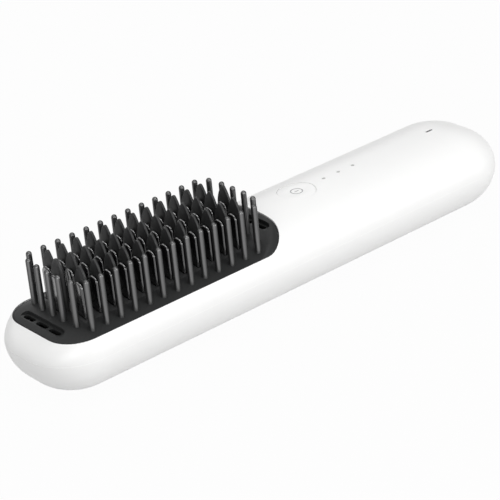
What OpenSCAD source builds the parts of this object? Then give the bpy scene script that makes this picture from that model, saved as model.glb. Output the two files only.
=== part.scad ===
// Cordless hair straightening brush, lying on its back with the teeth up.
// +X runs from the comb end to the end of the handle, +Y across the brush, +Z up.
// The origin is the middle of the flat rest on the underside. All sizes are in millimetres.

/* [Body] */
// Overall length of the white body
body_len = 218; // [200:1:240]
// Overall width of the white body
body_w = 45; // [43:0.5:50]
// Height of the lower shell, from the flat rest up to the parting line
lower_h = 16.5; // [15.5:0.5:20]
// Height of the upper shell, from the parting line up to the crown of the handle
upper_h = 15.2; // [14.5:0.1:18]
// Wall thickness of both shells
wall = 2; // [1.6:0.1:2.4]
// Corner radius of the comb end, seen from above
head_corner = 18.5; // [14:0.5:19]
// Corner radius of the handle end, seen from above
tail_corner = 18.4; // [12:0.5:20]
// Length over which the comb end slopes down
head_slope = 45; // [35:1:60]
// Width of the flat rest under the body
rest_w = 10; // [8:0.5:14]
// Height of the lip that locates the upper shell
lip_h = 1; // [0.6:0.1:1.4]
// Depth to which the lip's foot runs down the wall
lip_foot = 3; // [2:0.25:4]
// Thickness of that lip
lip_t = 1.2; // [0.8:0.1:1.6]
// Gap between the lip and the upper shell
lip_gap = 0.3; // [0.2:0.05:0.5]

/* [Comb deck] */
// Length of the black comb deck
deck_len = 99; // [97:0.5:104]
// Width of the white rim on each side of the deck
deck_side = 2; // [1.8:0.05:2.5]
// Corner radius of the deck
deck_corner = 11.5; // [8:0.5:14]
// Distance from the comb end of the body to the deck
deck_setback = 6.4; // [6:0.1:9]
// Height of the deck's edge above the parting line
deck_edge_rise = 7; // [6.6:0.1:7.6]
// Height of the deck's crown above its edge
deck_crown = 4.7; // [4:0.1:5.5]
// Angle of the ramp that climbs from the deck to the handle
ramp_angle = 29; // [26:1:34]
// Distance from the middle of the deck to its snap hooks
hook_x = 28; // [20:1:32]
// Length of a snap hook
hook_len = 6; // [4:0.5:8]
// Thickness of a snap hook
hook_t = 1.2; // [1:0.1:1.4]
// Reach of a snap hook under its ledge
hook_reach = 0.5; // [0.4:0.05:0.6]
// Thickness of the barb on a snap hook
barb_t = 1; // [0.8:0.1:1.2]
// Gap between a snap hook and its ledge, both ways
hook_gap = 0.25; // [0.2:0.05:0.3]
// Thickness of the deck
deck_t = 2; // [1.8:0.1:2.2]
// Gap between the deck and the opening of the upper shell
deck_gap = 0.15; // [0.1:0.05:0.3]
// Thickness of the seal under the deck
seal_t = 0.8; // [0.6:0.1:1.2]
// Width of the ledge that carries the deck
ledge_w = 2.4; // [2:0.1:3]
// Thickness of the ledge that carries the deck
ledge_t = 2; // [1.6:0.1:2.4]
// How far the ledge and the dome run past the outline of the deck
deck_past = 0.4; // [0.3:0.05:0.5]

/* [Teeth] */
// Distance between neighbouring teeth of one row
pitch = 6.1; // [5.9:0.05:6.2]
// Number of guide pins along each side
side_pins = 13; // [9:1:13]
// Distance from the side of the deck to each row of side pins
pin_edge = 4; // [3.5:0.1:4.4]
// Distance from the last side pins to the row across each end
end_row_out = 4.1; // [3.9:0.1:4.3]
// Distance by which that row draws in at its corners
end_row_in = 0.9; // [0.6:0.1:1.2]
// Distance between the pins of that row
end_pitch = 6.1; // [5.9:0.05:6.2]
// How much higher the pins of the row at the handle stand
handle_row_lift = 0.8; // [0:0.1:1.2]
// Gap round the foot of a pin
pin_gap = 0.05; // [0.03:0.01:0.08]
// Diameter of a guide pin at its foot
pin_foot_d = 2.05; // [1.8:0.05:2.1]
// Diameter of a guide pin at its rounded tip
pin_tip_d = 1.9; // [1.6:0.05:2]
// Height of the pin tips above the parting line
pin_tip_rise = 27; // [22:0.5:30]
// Depth to which a pin is seated in the deck
pin_seat = 1.2; // [0.8:0.1:1.5]
// Distance from the middle to each outer row of leaves and fins
leaf_row_y = 9.15; // [9:0.05:9.4]
// Width of a leaf
leaf_w = 7.4; // [6.6:0.1:7.5]
// Thickness of a leaf
leaf_t = 1.1; // [0.9:0.05:1.2]
// Height of the arched part of a leaf
leaf_point_h = 9; // [7:0.1:10]
// Radius of the round tip of a leaf
leaf_tip_r = 1; // [0.6:0.1:1.4]
// Height of the outer leaf tips above the parting line
leaf_outer_rise = 28.7; // [24:0.1:32]
// Height of the middle leaf tips above the parting line
leaf_centre_rise = 29.6; // [24:0.1:33]
// Width of a heater fin
fin_w = 4.8; // [4.4:0.1:5.2]
// Thickness of a heater fin
fin_t = 1.2; // [1:0.05:1.3]
// Gap between a fin and the leaf behind it
fin_lead = 0.3; // [0.25:0.05:0.4]
// Height of the outer fin tips above the parting line
fin_outer_rise = 23; // [20:0.1:26]
// Height of the middle fin tips above the parting line
fin_centre_rise = 23.8; // [20:0.1:27]
// Gap between a fin and the hole that it passes through
fin_gap = 0.2; // [0.1:0.05:0.22]
// Width of the strip that carries a row of leaves
strip_w = 7.6; // [7.5:0.1:7.8]
// Radius of the corners of that strip
strip_corner = 1; // [0.6:0.1:1.4]
// Thickness of the flange under a leaf strip
strip_flange_t = 0.8; // [0.6:0.1:1]
// Overhang of that flange on each side
strip_flange_over = 0.5; // [0.4:0.05:0.55]
// Length of a leaf strip past its last hole or leaf
strip_over = 1.2; // [0.8:0.1:1.6]
// How far the leaf strips lie below the deck's surface at their ends
strip_sink = 0.1; // [0.05:0.05:0.3]
// Gap between a leaf strip and its slot in the deck
strip_gap = 0.15; // [0.1:0.05:0.2]
// Least width of the deck between a slot for a strip and the foot of a pin
least_bar = 0.6; // [0.5:0.1:1]

/* [Vents] */
// Distance from the end of the deck to the middle of its vent
vent_inset = 3.9; // [3.7:0.1:4.6]
// Width of the recess round a vent
vent_w = 3.7; // [3.4:0.1:4]
// Length of the recess round a vent
vent_len = 23; // [22:0.5:24]
// Depth of the recess round a vent
vent_depth = 0.8; // [0.5:0.1:1]
// Thickness of the floor under the recess
vent_floor_t = 1.2; // [1:0.1:1.5]
// Width of a vent slot
vent_slot_w = 2; // [1.5:0.1:2.4]
// Length of a vent slot
vent_slot_len = 5.8; // [4:0.2:6.4]
// Distance between vent slots
vent_slot_pitch = 7.2; // [7:0.1:7.5]

/* [Heater] */
// Width of the heater plate
heater_w = 26; // [25:0.5:26.5]
// Thickness of the heater plate
heater_t = 3; // [2.5:0.1:3.2]
// Length of the heater plate past the fins at each end
heater_over = 0.6; // [0.4:0.1:0.8]
// Radius of the corners of the heater plate
heater_corner = 2; // [1:0.5:4]
// Height of the top of the heater plate above the parting line
heater_top_rise = 6.7; // [6.5:0.1:6.75]
// Length of a heating element
element_len = 68; // [50:1:72]
// Width of a heating element
element_w = 6.5; // [5:0.25:7]
// Thickness of a heating element
element_t = 3.6; // [3:0.1:3.8]
// Distance from the middle to each heating element
element_y = 6.5; // [6:0.25:7]
// Thickness of the mica sheet under the elements
mica_t = 0.4; // [0.3:0.05:0.6]
// Overhang of the mica sheet past the elements
mica_over = 1; // [0.5:0.1:1.2]
// Gap round the mica sheet, inside the bracket's rim
mica_gap = 0.3; // [0.2:0.05:0.4]
// Thickness of the bracket's floor
bracket_t = 2; // [1.6:0.1:2.4]
// Gap between the heater bracket and the ledge, along both sides
bracket_side_gap = 0.6; // [0.4:0.05:0.8]
// Gap between the heater bracket and the ledge, at both ends
bracket_end_gap = 2.6; // [2:0.1:3]
// Thickness of the rim round the heater bracket
bracket_rim_t = 1.2; // [1:0.1:1.5]
// Diameter of the bosses under the deck
boss_d = 4.2; // [4:0.1:4.4]
// Distance from the end of the bracket to the bosses
boss_inset = 4; // [3.4:0.1:4.4]
// Height of the posts for the screws under the comb
head_post_h = 4; // [3.5:0.1:4.5]
// Skin that closes the bores of those posts
head_post_skin = 0.4; // [0.3:0.05:0.6]
// Distance from the middle of the deck to the thermal fuse and to the temperature sensor
probe_x = 12; // [8:0.5:16]
// Diameter of the thermal fuse
fuse_d = 3.4; // [3:0.1:3.6]
// Length of the thermal fuse
fuse_len = 10; // [8:0.5:14]
// Diameter of the temperature sensor
sensor_d = 2.6; // [2:0.1:3]
// Length of the temperature sensor
sensor_len = 5; // [4:0.5:8]

/* [Button and lights] */
// Distance from the deck to the middle of the power button
button_inset = 20.6; // [19:0.1:24]
// Diameter of the power button
button_d = 14.5; // [13:0.1:16]
// Gap round the power button
button_gap = 0.2; // [0.15:0.05:0.3]
// Travel of the power button
button_travel = 0.4; // [0.3:0.05:0.6]
// Depth of the dished top of the button
dish_depth = 0.25; // [0.15:0.05:0.4]
// Thickness of the button's top and wall
button_t = 1.2; // [1:0.1:1.4]
// Overhang of the flange that keeps the button in
button_flange_over = 1; // [0.8:0.1:1.2]
// Thickness of that flange
button_flange_t = 0.8; // [0.6:0.1:1]
// Gap between the flange and the sleeve above it
button_rest_gap = 0.3; // [0.2:0.05:0.4]
// Depth of the sleeve inside the upper shell
sleeve_depth = 1.3; // [1.2:0.1:1.5]
// Wall of that sleeve
sleeve_wall = 1.5; // [1.2:0.1:1.8]
// Diameter of the ring in the power symbol
symbol_d = 5; // [4:0.1:6]
// Width of the lines in the power symbol
symbol_line = 0.5; // [0.4:0.05:0.7]
// Depth of the lines in the power symbol
symbol_depth = 0.15; // [0.1:0.05:0.2]
// Width of the rim that the dish leaves at both ends of the button
dish_rim = 1.5; // [1:0.1:2]
// How far the button, the lights and the window lie below the shell's crown
flush_gap = 0.05; // [0.02:0.01:0.1]
// Side of the power switch
switch_w = 6; // [5:0.1:6.5]
// Height of the power switch
switch_h = 2.2; // [1.8:0.1:2.4]
// Thickness of the power switch's floor
switch_floor_t = 0.5; // [0.4:0.1:0.6]
// Height of the stem above the power switch
stem_rise = 0.6; // [0.5:0.05:0.7]
// Diameter of the switch's stem
stem_d = 3.2; // [2.8:0.1:3.4]
// Running clearance round the switch's stem
stem_gap = 0.05; // [0.03:0.01:0.08]
// Number of indicator lights
lights = 3; // [1:1:3]
// Distance from the power button to the first light
light_inset = 13.5; // [13:0.1:16]
// Distance between the lights
light_pitch = 7.35; // [6:0.05:8]
// Diameter of a light
light_d = 1.4; // [1:0.1:1.8]
// Gap round a light, and between the light guide and what it meets
light_gap = 0.1; // [0.08:0.01:0.15]
// Width of the light guide's bar
guide_w = 3; // [2.4:0.1:3.6]
// Thickness of the light guide's bar
guide_t = 1.4; // [1:0.1:1.6]
// Widening of the light guide's legs below the bar
guide_leg_over = 0.3; // [0.1:0.1:0.5]
// Distance from the handle end to the charge window
window_inset = 23.4; // [22:0.1:24]
// Length of the charge window
window_len = 3.4; // [2.5:0.1:4]
// Width of the charge window
window_w = 1; // [0.8:0.1:1.2]
// Overhang of the flange under the charge window
window_over = 1; // [0.8:0.1:1.2]
// Thickness of that flange
window_flange_t = 0.8; // [0.6:0.1:1]
// Thickness of the seat inside the shell for that flange
window_seat_t = 1.6; // [1:0.1:2]
// Overhang of that seat past the flange
window_seat_over = 0.5; // [0.3:0.1:0.8]

/* [Electronics] */
// Distance from the handle end to the main board
board_tail = 19.6; // [19:0.1:20.2]
// Width of the main board
board_w = 24; // [23:0.5:26]
// Thickness of the main board
board_t = 1.2; // [1:0.1:1.6]
// Height of the top of the main board above the parting line
board_rise = 9.1; // [8.9:0.1:9.3]
// Distance from the deck to the main board
board_inset = 10; // [9.5:0.1:10.5]
// Distance from a board corner to its screw, both ways
board_screw_inset = 2.5; // [2.2:0.1:2.8]
// Distance from the handle end to the cells
cell_tail = 21.6; // [21.4:0.1:24]
// Gap between the cells and the side walls, at the parting line
cell_side = 2.3; // [2.2:0.1:3]
// Gap between the cells and the screws above them
cell_top_gap = 0.4; // [0.3:0.05:0.5]
// Gap between the two cells
cell_gap = 0.4; // [0.2:0.1:0.5]
// Distance from the deck to the cells
cell_inset = 26; // [25:0.25:26.5]
// Thickness of the battery cradle
cradle_t = 1.2; // [1:0.1:1.4]
// Gap between the cradle and the cells and straps
cradle_gap = 0.2; // [0.1:0.05:0.3]
// Gap between the cradle and the side walls
cradle_side = 0.5; // [0.4:0.05:1]
// Least height of the foot under the cradle
cradle_foot_h = 0.6; // [0.4:0.1:1]
// Height of the cradle's floor between the cells
cradle_rib_h = 3; // [2:0.25:4]
// Thickness of the battery straps
strap_t = 0.3; // [0.2:0.05:0.4]
// Width of a battery strap
strap_w = 8; // [6:0.5:10]
// Width of the strap that joins both cells
bridge_w = 6; // [4:0.5:8]
// Width of the charging socket
port_w = 9; // [8.9:0.05:9.2]
// Height of the charging socket
port_h = 3.2; // [3.1:0.05:3.4]
// Depth of the charging socket
port_depth = 8; // [7:0.25:8.5]
// Wall of the charging socket
port_wall = 0.3; // [0.2:0.05:0.4]
// Thickness of the charging socket's floor
port_floor_t = 1; // [0.6:0.1:1.2]
// Gap round the charging socket
port_gap = 0.25; // [0.2:0.05:0.3]
// Distance of the socket's mouth from the handle end
port_recess = 0.8; // [0.6:0.1:1.2]
// Thickness of the tongue inside the socket
tongue_t = 0.7; // [0.6:0.05:0.8]
// Width of that tongue
tongue_w = 6; // [5:0.1:6.5]
// Distance of the tongue from the socket's mouth
tongue_inset = 1; // [0.8:0.1:1.5]
// Length of the charging board
port_board_len = 11; // [10:0.25:12]
// Width of the charging board
port_board_w = 14; // [12:0.5:15]
// Thickness of the charging board
port_board_t = 1; // [0.8:0.1:1.2]
// Gap between the charging board and the lip
port_board_gap = 0.6; // [0.4:0.05:0.8]
// Width of the shelf under the charging board
shelf_w = 3; // [2:0.25:4]
// Distance from the end and the sides of the charging board to that shelf
shelf_inset = 1; // [0.5:0.1:1.5]
// Height of an indicator light
led_h = 0.8; // [0.6:0.1:1]
// Length of an indicator light
led_len = 1.6; // [1.2:0.1:2]
// Width of an indicator light
led_w = 1; // [0.8:0.1:1.2]
// Diameter of the wires
wire_d = 1.4; // [1.2:0.1:1.6]
// Distance from an end of the main board to its leads
lead_inset = 6; // [5:0.25:7.5]
// Distance from the cells to the bend of their leads
lead_bend = 4; // [3:0.25:5]
// Height of the heater's leads above the underside of the elements
lead_rise = 0.9; // [0.8:0.05:1.2]

/* [Screws] */
// Diameter of the shell screws
screw_d = 2.4; // [2:0.1:2.6]
// Diameter of the shell screws' heads
screw_head_d = 4.6; // [4.2:0.1:4.8]
// Height of the shell screws' heads
screw_head_h = 1.6; // [1.4:0.1:1.8]
// Gap between a screw and its pilot hole
pilot_gap = 0.05; // [0.03:0.01:0.08]
// Gap between a screw and its through hole
through_gap = 0.25; // [0.2:0.05:0.3]
// Wall round a shell screw
post_wall = 1.7; // [1.5:0.1:1.8]
// How far the plugs over the screws lie below the surface
plug_sink = 0.3; // [0.1:0.05:0.5]
// Height of the shell screws' seats above the flat rest
seat_h = 7; // [6.5:0.1:7.5]
// Distance from the middle of the deck to the screws under the comb
head_screw_x = 25; // [20:1:28]
// Height of the seats of the screws under the comb
head_seat_h = 4.6; // [4.2:0.1:5]
// Depth to which a shell screw grips
screw_grip = 5; // [4:0.25:5.5]
// Distance from the deck to the middle screws
mid_screw_inset = 5.5; // [5.2:0.1:5.6]
// Distance from the handle end to the last screws
tail_screw_inset = 15; // [14.6:0.1:15.2]
// Distance from the middle to the screws, across the brush
screw_y = 12; // [11.6:0.1:12.2]
// Diameter of the small screws inside
small_screw_d = 1.6; // [1.4:0.1:1.7]
// Diameter of the small screws' heads
small_head_d = 3; // [2.8:0.1:3.2]
// Height of the small screws' heads
small_head_h = 1; // [0.8:0.1:1.2]
// Depth to which the small screws grip the deck's bosses
boss_grip = 3.5; // [2.5:0.25:3.5]
// Depth to which the small screws grip the bosses above the main board
board_grip = 1.6; // [1.2:0.1:1.8]
// Wall round a boss above the main board
board_boss_wall = 0.7; // [0.6:0.05:0.9]
// Free depth of a pilot hole past the tip of its screw
pilot_over = 0.5; // [0.3:0.1:0.8]

/* [Hidden] */

// Smoothness of round parts, of the discs inside a hull, and the number of slices in a hull
$fn = 48;
hull_fn = 32;
slices = 9;
// Overlap that keeps joined solids joined, and how far a cut runs past what it opens
eps = 0.01;
past = 1;

// Curvature of the body: 2 is an ellipse, more is squarer
top_power = 2.25;
head_power = 1.8;
low_power = 1.95;
// Half the width left at the crown, the least corner radius there, and how fast the corners tighten
crown_half_w = 0.6;
least_corner = 3;
corner_share = 1.08;
dome_tip_r = 0.5;

head_x = -body_len / 2;
tail_x = body_len / 2;
part_z = lower_h;
crown_z = lower_h + upper_h;

deck_w = body_w - 2 * deck_side;
deck_x0 = head_x + deck_setback;
deck_x1 = deck_x0 + deck_len;
deck_xm = (deck_x0 + deck_x1) / 2;
deck_edge_z = part_z + deck_edge_rise;
deck_top_z = deck_edge_z + deck_crown;
skirt_z = deck_edge_z - deck_t;
ledge_z = skirt_z - seal_t;
ledge_low_z = ledge_z - ledge_t;
// Lowest level of anything that belongs to the deck
deck_low_z = part_z - deck_t;

cross_r = arch_r(deck_w, deck_crown);

row_len = (side_pins - 1) * pitch;
row_x0 = deck_xm - row_len / 2;
pin_row_y = max(deck_w / 2 - pin_edge,
    leaf_row_y + strip_w / 2 + strip_gap + least_bar + pin_gap + pin_foot_d / 2);
whole_steps = [for (i = [0 : side_pins - 1]) row_x0 + i * pitch];
half_steps = [for (i = [0 : side_pins - 2]) row_x0 + (i + 0.5) * pitch];
// Place of each pin and how much higher than the others it stands
pin_spots = concat(
    [for (x = whole_steps, sy = [-1, 1]) [x, sy * pin_row_y, 0]],
    [for (s = [-1, 1], k = [-2 : 2])
        [deck_xm + s * (row_len / 2 + end_row_out - (abs(k) == 2 ? end_row_in : 0)), k * end_pitch,
            s > 0 ? handle_row_lift : 0]]);
// The rows of leaves, each with the places along it
leaf_rows = [[-leaf_row_y, half_steps], [0, whole_steps], [leaf_row_y, half_steps]];
// Half the length of the heater plate, which reaches past the first fin of the middle row
plate_half = deck_xm - fin_at(whole_steps[0]) + fin_t / 2 + heater_over;

heater_z = part_z + heater_top_rise;
plate_low_z = heater_z - heater_t;
element_z = plate_low_z - element_t;
bracket_z = element_z - mica_t;
bracket_low_z = bracket_z - bracket_t;
bracket_w = deck_w - 2 * (ledge_w + bracket_side_gap);
bracket_len = deck_len - 2 * (ledge_w + bracket_end_gap);
boss_x = bracket_len / 2 - boss_inset;
boss_y = (bracket_w - boss_d) / 2;
mica_len = element_len + 2 * mica_over;
mica_w = 2 * element_y + element_w + 2 * mica_over;

button_x = deck_x1 + button_inset;
button_crown_r = arch_r(button_d, crown_z - crown_at(button_d / 2));
dish_low_z = crown_z - flush_gap - dish_depth;
sleeve_z = crown_z - wall - sleeve_depth;
button_flange_z = sleeve_z - button_rest_gap - button_flange_t;
button_roof_z = dish_low_z - symbol_depth - button_t;
board_z = part_z + board_rise;
board_low_z = board_z - board_t;
board_x0 = deck_x1 + board_inset;
board_len = tail_x - board_tail - board_x0;
stem_top_z = board_z + switch_h + stem_rise;
// The stem stops just above the floor of the switch when the button is pressed home
stem_low_z = board_z + switch_floor_t + button_travel + light_gap;
light_x0 = button_x + light_inset;
light_xs = [for (i = [0 : lights - 1]) light_x0 + i * light_pitch];
guide_z = crown_z - wall - light_gap;
guide_low_z = guide_z - guide_t;
guide_len = light_pitch * (lights - 1) + guide_w + 2 * guide_t;
window_x = tail_x - window_inset;
window_seat_z = crown_z - wall - window_seat_t;

cell_x0 = deck_x1 + cell_inset;
cell_x1 = tail_x - cell_tail;
cell_top_z = board_low_z - small_head_h - cell_top_gap;
// The cells fill the handle's width, or its height where that is less
cell_d = min((body_w - 2 * (wall + cell_side) - cell_gap) / 2,
    cell_top_z - wall - cradle_foot_h - cradle_t - cradle_gap);
cell_y = (cell_d + cell_gap) / 2;
cell_z = cell_top_z - cell_d / 2;
cradle_low_z = cell_z - cell_d / 2 - cradle_gap - cradle_t;
cradle_w = 2 * (lower_in(cradle_low_z) - cradle_side);
port_x0 = tail_x - port_recess - port_depth;
port_low_z = part_z - port_h / 2;
// The charging lead passes over the groove between the cells
port_lead_z = cell_z + cell_d / 3;
lip_in = wall + lip_gap + lip_t;
port_board_x1 = tail_x - lip_in - port_board_gap;

mid_screw_x = deck_x1 + mid_screw_inset;
tail_screw_x = tail_x - tail_screw_inset;
shell_spots = [for (x = [mid_screw_x, tail_screw_x], sy = [-1, 1]) [x, sy * screw_y]];
head_spots = [for (s = [-1, 1]) [deck_xm + s * head_screw_x, 0]];
head_post_z = bracket_low_z - head_post_h;
board_spots = [for (dx = [board_screw_inset, board_len - board_screw_inset], sy = [-1, 1])
    [board_x0 + dx, sy * (board_w / 2 - board_screw_inset)]];
boss_spots = [for (sx = [-1, 1], sy = [-1, 1]) [deck_xm + sx * boss_x, sy * boss_y]];
screw_bore_d = screw_d + 2 * through_gap;
head_bore_d = screw_head_d + 2 * through_gap;
small_pilot_d = small_screw_d + 2 * pilot_gap;

// Place of the fin in front of the leaf at x
function fin_at(x) = x - (leaf_t + fin_t) / 2 - fin_lead;
// Ends of the strip with leaves at xs. The middle strip stays open round its first fin
function strip_x0(xs) = fin_at(xs[0]) - (xs == whole_steps ? 0 : fin_t / 2 + fin_gap + strip_over);
function strip_x1(xs) = xs[len(xs) - 1] + leaf_t / 2 + strip_over;
// How far a rounded side has drawn in at a share f of its height
function draw_in(f, reach, power) = reach * (1 - pow(max(0, 1 - pow(f, power)), 1 / power));
// Radius of the circle through the ends and the middle of an arch
function arch_r(span, rise) = (span * span / 4 + rise * rise) / (2 * rise);
// Height of the body's crown at a distance y from the middle
function crown_at(y) = part_z + upper_h * pow(1 - pow(abs(y) / (body_w / 2), top_power), 1 / top_power);
// Half the width inside the lower shell at height z
function lower_in(z) = body_w / 2 - wall
    - draw_in((part_z - z) / (lower_h - wall), body_w / 2 - wall - rest_w / 2, low_power);
// Height of the deck's round surface, lowered by t, at a distance d from its middle
function dome_at(t, d) = deck_top_z - cross_r + sqrt(pow(cross_r - t, 2) - d * d);
// Height of the deck at x, y, short of the ramp. It drops alike towards the sides,
// the comb end and the corners
function deck_at(x, y) = dome_at(deck_gap, x < deck_x0 + deck_corner && abs(y) > deck_w / 2 - deck_corner
    ? deck_w / 2 - deck_corner + norm([x - deck_x0 - deck_corner, abs(y) - deck_w / 2 + deck_corner])
    : max(abs(y), deck_x0 + deck_w / 2 - x));

// One level of the body: four thin discs at its corners
module level(z, half_w, x0, x1, r0, r1) {
    for (sy = [-1, 1]) {
        translate([x0 + r0, sy * (half_w - r0), z]) cylinder(h = eps, r = r0, $fn = hull_fn);
        translate([x1 - r1, sy * (half_w - r1), z]) cylinder(h = eps, r = r1, $fn = hull_fn);
    }
}

// Solid upper half of the body, drawn in by t on every side
module upper_form(t) {
    half_w = body_w / 2 - t;
    hull() for (i = [0 : slices]) {
        f = sin(i * 90 / slices);
        in_side = draw_in(f, half_w - crown_half_w, top_power);
        in_head = draw_in(f, head_slope, head_power);
        w = half_w - in_side;
        level(part_z + f * (upper_h - t - eps), w, head_x + t + in_head, tail_x - t - in_side,
            min(w, max(least_corner, head_corner - t - corner_share * in_head)),
            (tail_corner - t) * w / half_w);
    }
}

// Solid lower half of the body, drawn in by t on every side
module lower_form(t) {
    half_w = body_w / 2 - t;
    hull() for (i = [0 : slices]) {
        f = sin(i * 90 / slices);
        in_side = draw_in(f, half_w - rest_w / 2, low_power);
        w = half_w - in_side;
        level(part_z - eps - f * (lower_h - t - eps), w, head_x + t + in_side, tail_x - t - in_side,
            (head_corner - t) * w / half_w, (tail_corner - t) * w / half_w);
    }
}

// Rectangle with round corners, from x0 to x1
module plan(x0, x1, w, r0, r1) {
    translate([x0 + r0, -w / 2]) square([x1 - r1 - x0 - r0, w]);
    translate([x0, r0 - w / 2]) square([r0 + eps, w - 2 * r0]);
    translate([x1 - r1 - eps, r1 - w / 2]) square([r1 + eps, w - 2 * r1]);
    for (sy = [-1, 1]) {
        translate([x0 + r0, sy * (w / 2 - r0)]) circle(r = r0);
        translate([x1 - r1, sy * (w / 2 - r1)]) circle(r = r1);
    }
}

// Outline of the body at the parting line, drawn in by t
module body_plan(t) {
    plan(head_x + t, tail_x - t, body_w - 2 * t, head_corner - t, tail_corner - t);
}

// Outline of the deck, drawn in by t
module deck_plan(t) {
    plan(deck_x0 + t, deck_x1 - t, deck_w - 2 * t, deck_corner - t, deck_corner - t);
}

// Cylinder that lies along the brush, centred across it at height z
module long_round(x0, x1, r, z) {
    translate([x0, 0, z]) rotate([0, 90, 0]) cylinder(h = x1 - x0, r = r, $fn = 96);
}

// Outline of a slot with round ends along X, or along Y when turned
module slot(len, w) {
    square([len - w, w], center = true);
    for (s = [-1, 1]) translate([s * (len - w) / 2, 0]) circle(d = w);
}

// Block of the given size, centred across the brush
module block(x0, x1, w, z0, z1) {
    translate([x0, -w / 2, z0]) cube([x1 - x0, w, z1 - z0]);
}

// Copies of what follows at each spot
module at(spots) {
    for (s = spots) translate([s[0], s[1], 0]) children();
}

// Upright outline across the brush, centred on x and given a thickness
module across(x, y, t) {
    translate([x - t / 2, y, 0]) rotate([90, 0, 90]) linear_extrude(t) children();
}

// Screw with its head below, seated at height z
module screw(z, d, len, head_d, head_h) {
    translate([0, 0, z - head_h]) cylinder(h = head_h, d = head_d);
    translate([0, 0, z - eps]) cylinder(h = len + eps, d = d);
}

// Wire that runs level from x0 to x1 at height z and then turns up or down to height end_z
module wire(x0, x1, y, z, end_z) {
    translate([min(x0, x1), y, z]) rotate([0, 90, 0]) cylinder(h = abs(x1 - x0), d = wire_d);
    translate([x1, y, z]) sphere(d = wire_d);
    translate([x1, y, min(z, end_z)]) cylinder(h = abs(end_z - z), d = wire_d);
}

module upper_shell() {
    color("white") difference() {
        upper_form(0);
        difference() {
            translate([0, 0, -eps]) upper_form(wall);
            // Ledge that carries the deck
            translate([0, 0, ledge_low_z]) linear_extrude(ledge_t) difference() {
                deck_plan(-deck_past);
                deck_plan(ledge_w);
            }
            // Bosses for the shell screws
            at(shell_spots) translate([0, 0, part_z - past])
                cylinder(h = upper_h + past, d = screw_d + 2 * post_wall);
            // Bosses for the main board
            at(board_spots) translate([0, 0, board_z])
                cylinder(h = upper_h, d = small_head_d + 2 * board_boss_wall);
            // Sleeve that guides the power button
            translate([button_x, 0, sleeve_z])
                cylinder(h = upper_h, d = button_d + 2 * (button_gap + sleeve_wall));
            // Seat of the charge window
            translate([window_x, 0, window_seat_z]) linear_extrude(upper_h)
                slot(window_len + 2 * (window_over + window_seat_over),
                    window_w + 2 * (window_over + window_seat_over));
        }
        // Room for the lip of the lower shell
        translate([0, 0, part_z - past]) linear_extrude(past + lip_h + lip_gap) difference() {
            body_plan(wall);
            body_plan(lip_in + lip_gap);
        }
        // Opening for the deck, wide above its ledge and narrow below
        translate([0, 0, ledge_z]) linear_extrude(2 * upper_h) deck_plan(0);
        translate([0, 0, part_z - past]) linear_extrude(2 * upper_h) deck_plan(ledge_w);
        at(shell_spots) translate([0, 0, part_z - past])
            cylinder(h = past + screw_grip + pilot_over, d = screw_d + 2 * pilot_gap);
        at(board_spots) translate([0, 0, board_z - past])
            cylinder(h = past + board_grip + pilot_over, d = small_pilot_d);
        translate([button_x, 0, sleeve_z - past]) cylinder(h = upper_h, d = button_d + 2 * button_gap);
        for (x = light_xs) translate([x, 0, part_z + upper_h / 2])
            cylinder(h = upper_h, d = light_d + 2 * light_gap);
        translate([window_x, 0, part_z + upper_h / 2]) linear_extrude(upper_h)
            slot(window_len + 2 * light_gap, window_w + 2 * light_gap);
        port_hole();
    }
}

module lower_shell() {
    color("whitesmoke") difference() {
        union() {
            lower_form(0);
            translate([0, 0, part_z - eps]) linear_extrude(lip_h + eps) lip_plan();
        }
        difference() {
            translate([0, 0, eps]) lower_form(wall);
            // Foot of the lip, which runs down the inside of the wall
            translate([0, 0, part_z - lip_foot]) linear_extrude(lip_foot + past) difference() {
                body_plan(wall / 2);
                body_plan(lip_in);
            }
            at(shell_spots) cylinder(h = part_z, d = head_bore_d + 2 * post_wall);
            at(head_spots) cylinder(h = head_post_z, d = head_bore_d + 2 * post_wall);
            // Shelf under the charging board
            block(port_board_x1 - shelf_inset - shelf_w, port_board_x1 - shelf_inset,
                port_board_w - 2 * shelf_inset, 0, port_low_z - port_board_t);
        }
        at(shell_spots) screw_hole(seat_h);
        at(head_spots) screw_hole(head_seat_h);
        port_hole();
    }
}

// Outline of the lip that locates the upper shell
module lip_plan() {
    difference() {
        body_plan(wall + lip_gap);
        body_plan(lip_in);
    }
}

// Stepped hole for a shell screw whose head seats at height z
module screw_hole(z) {
    translate([0, 0, -past]) cylinder(h = z + past, d = head_bore_d);
    cylinder(h = 2 * part_z, d = screw_bore_d);
}

// Hole in both shells for the charging socket
module port_hole() {
    translate([port_x0 - past, 0, part_z]) rotate([90, 0, 90])
        linear_extrude(port_depth + port_recess + 2 * past)
        slot(port_w + 2 * port_gap, port_h + 2 * port_gap);
}

// Space under the deck's domed surface, lowered and drawn in by t
module deck_form(t) {
    intersection() {
        translate([0, 0, deck_low_z]) linear_extrude(2 * upper_h) deck_plan(t);
        union() {
            dome(t);
            intersection() {
                handle_section(t);
                ramp(t);
            }
        }
    }
}

// Dome over the deck, lowered by t, from a little outside the deck's outline up to its crown
module dome(t) {
    start_w = deck_w / 2 + deck_past - t;
    hull() {
        dome_level(deck_low_z, start_w);
        for (i = [0 : slices]) {
            w = start_w + (2 * dome_tip_r - start_w) * i / slices;
            dome_level(dome_at(t, w), w);
        }
    }
}

// One level of the dome, w wide on each side of the middle
module dome_level(z, w) {
    level(z, w, deck_x0 + deck_w / 2 - w, deck_x1, max(dome_tip_r, w - deck_w / 2 + deck_corner),
        dome_tip_r);
}

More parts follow.
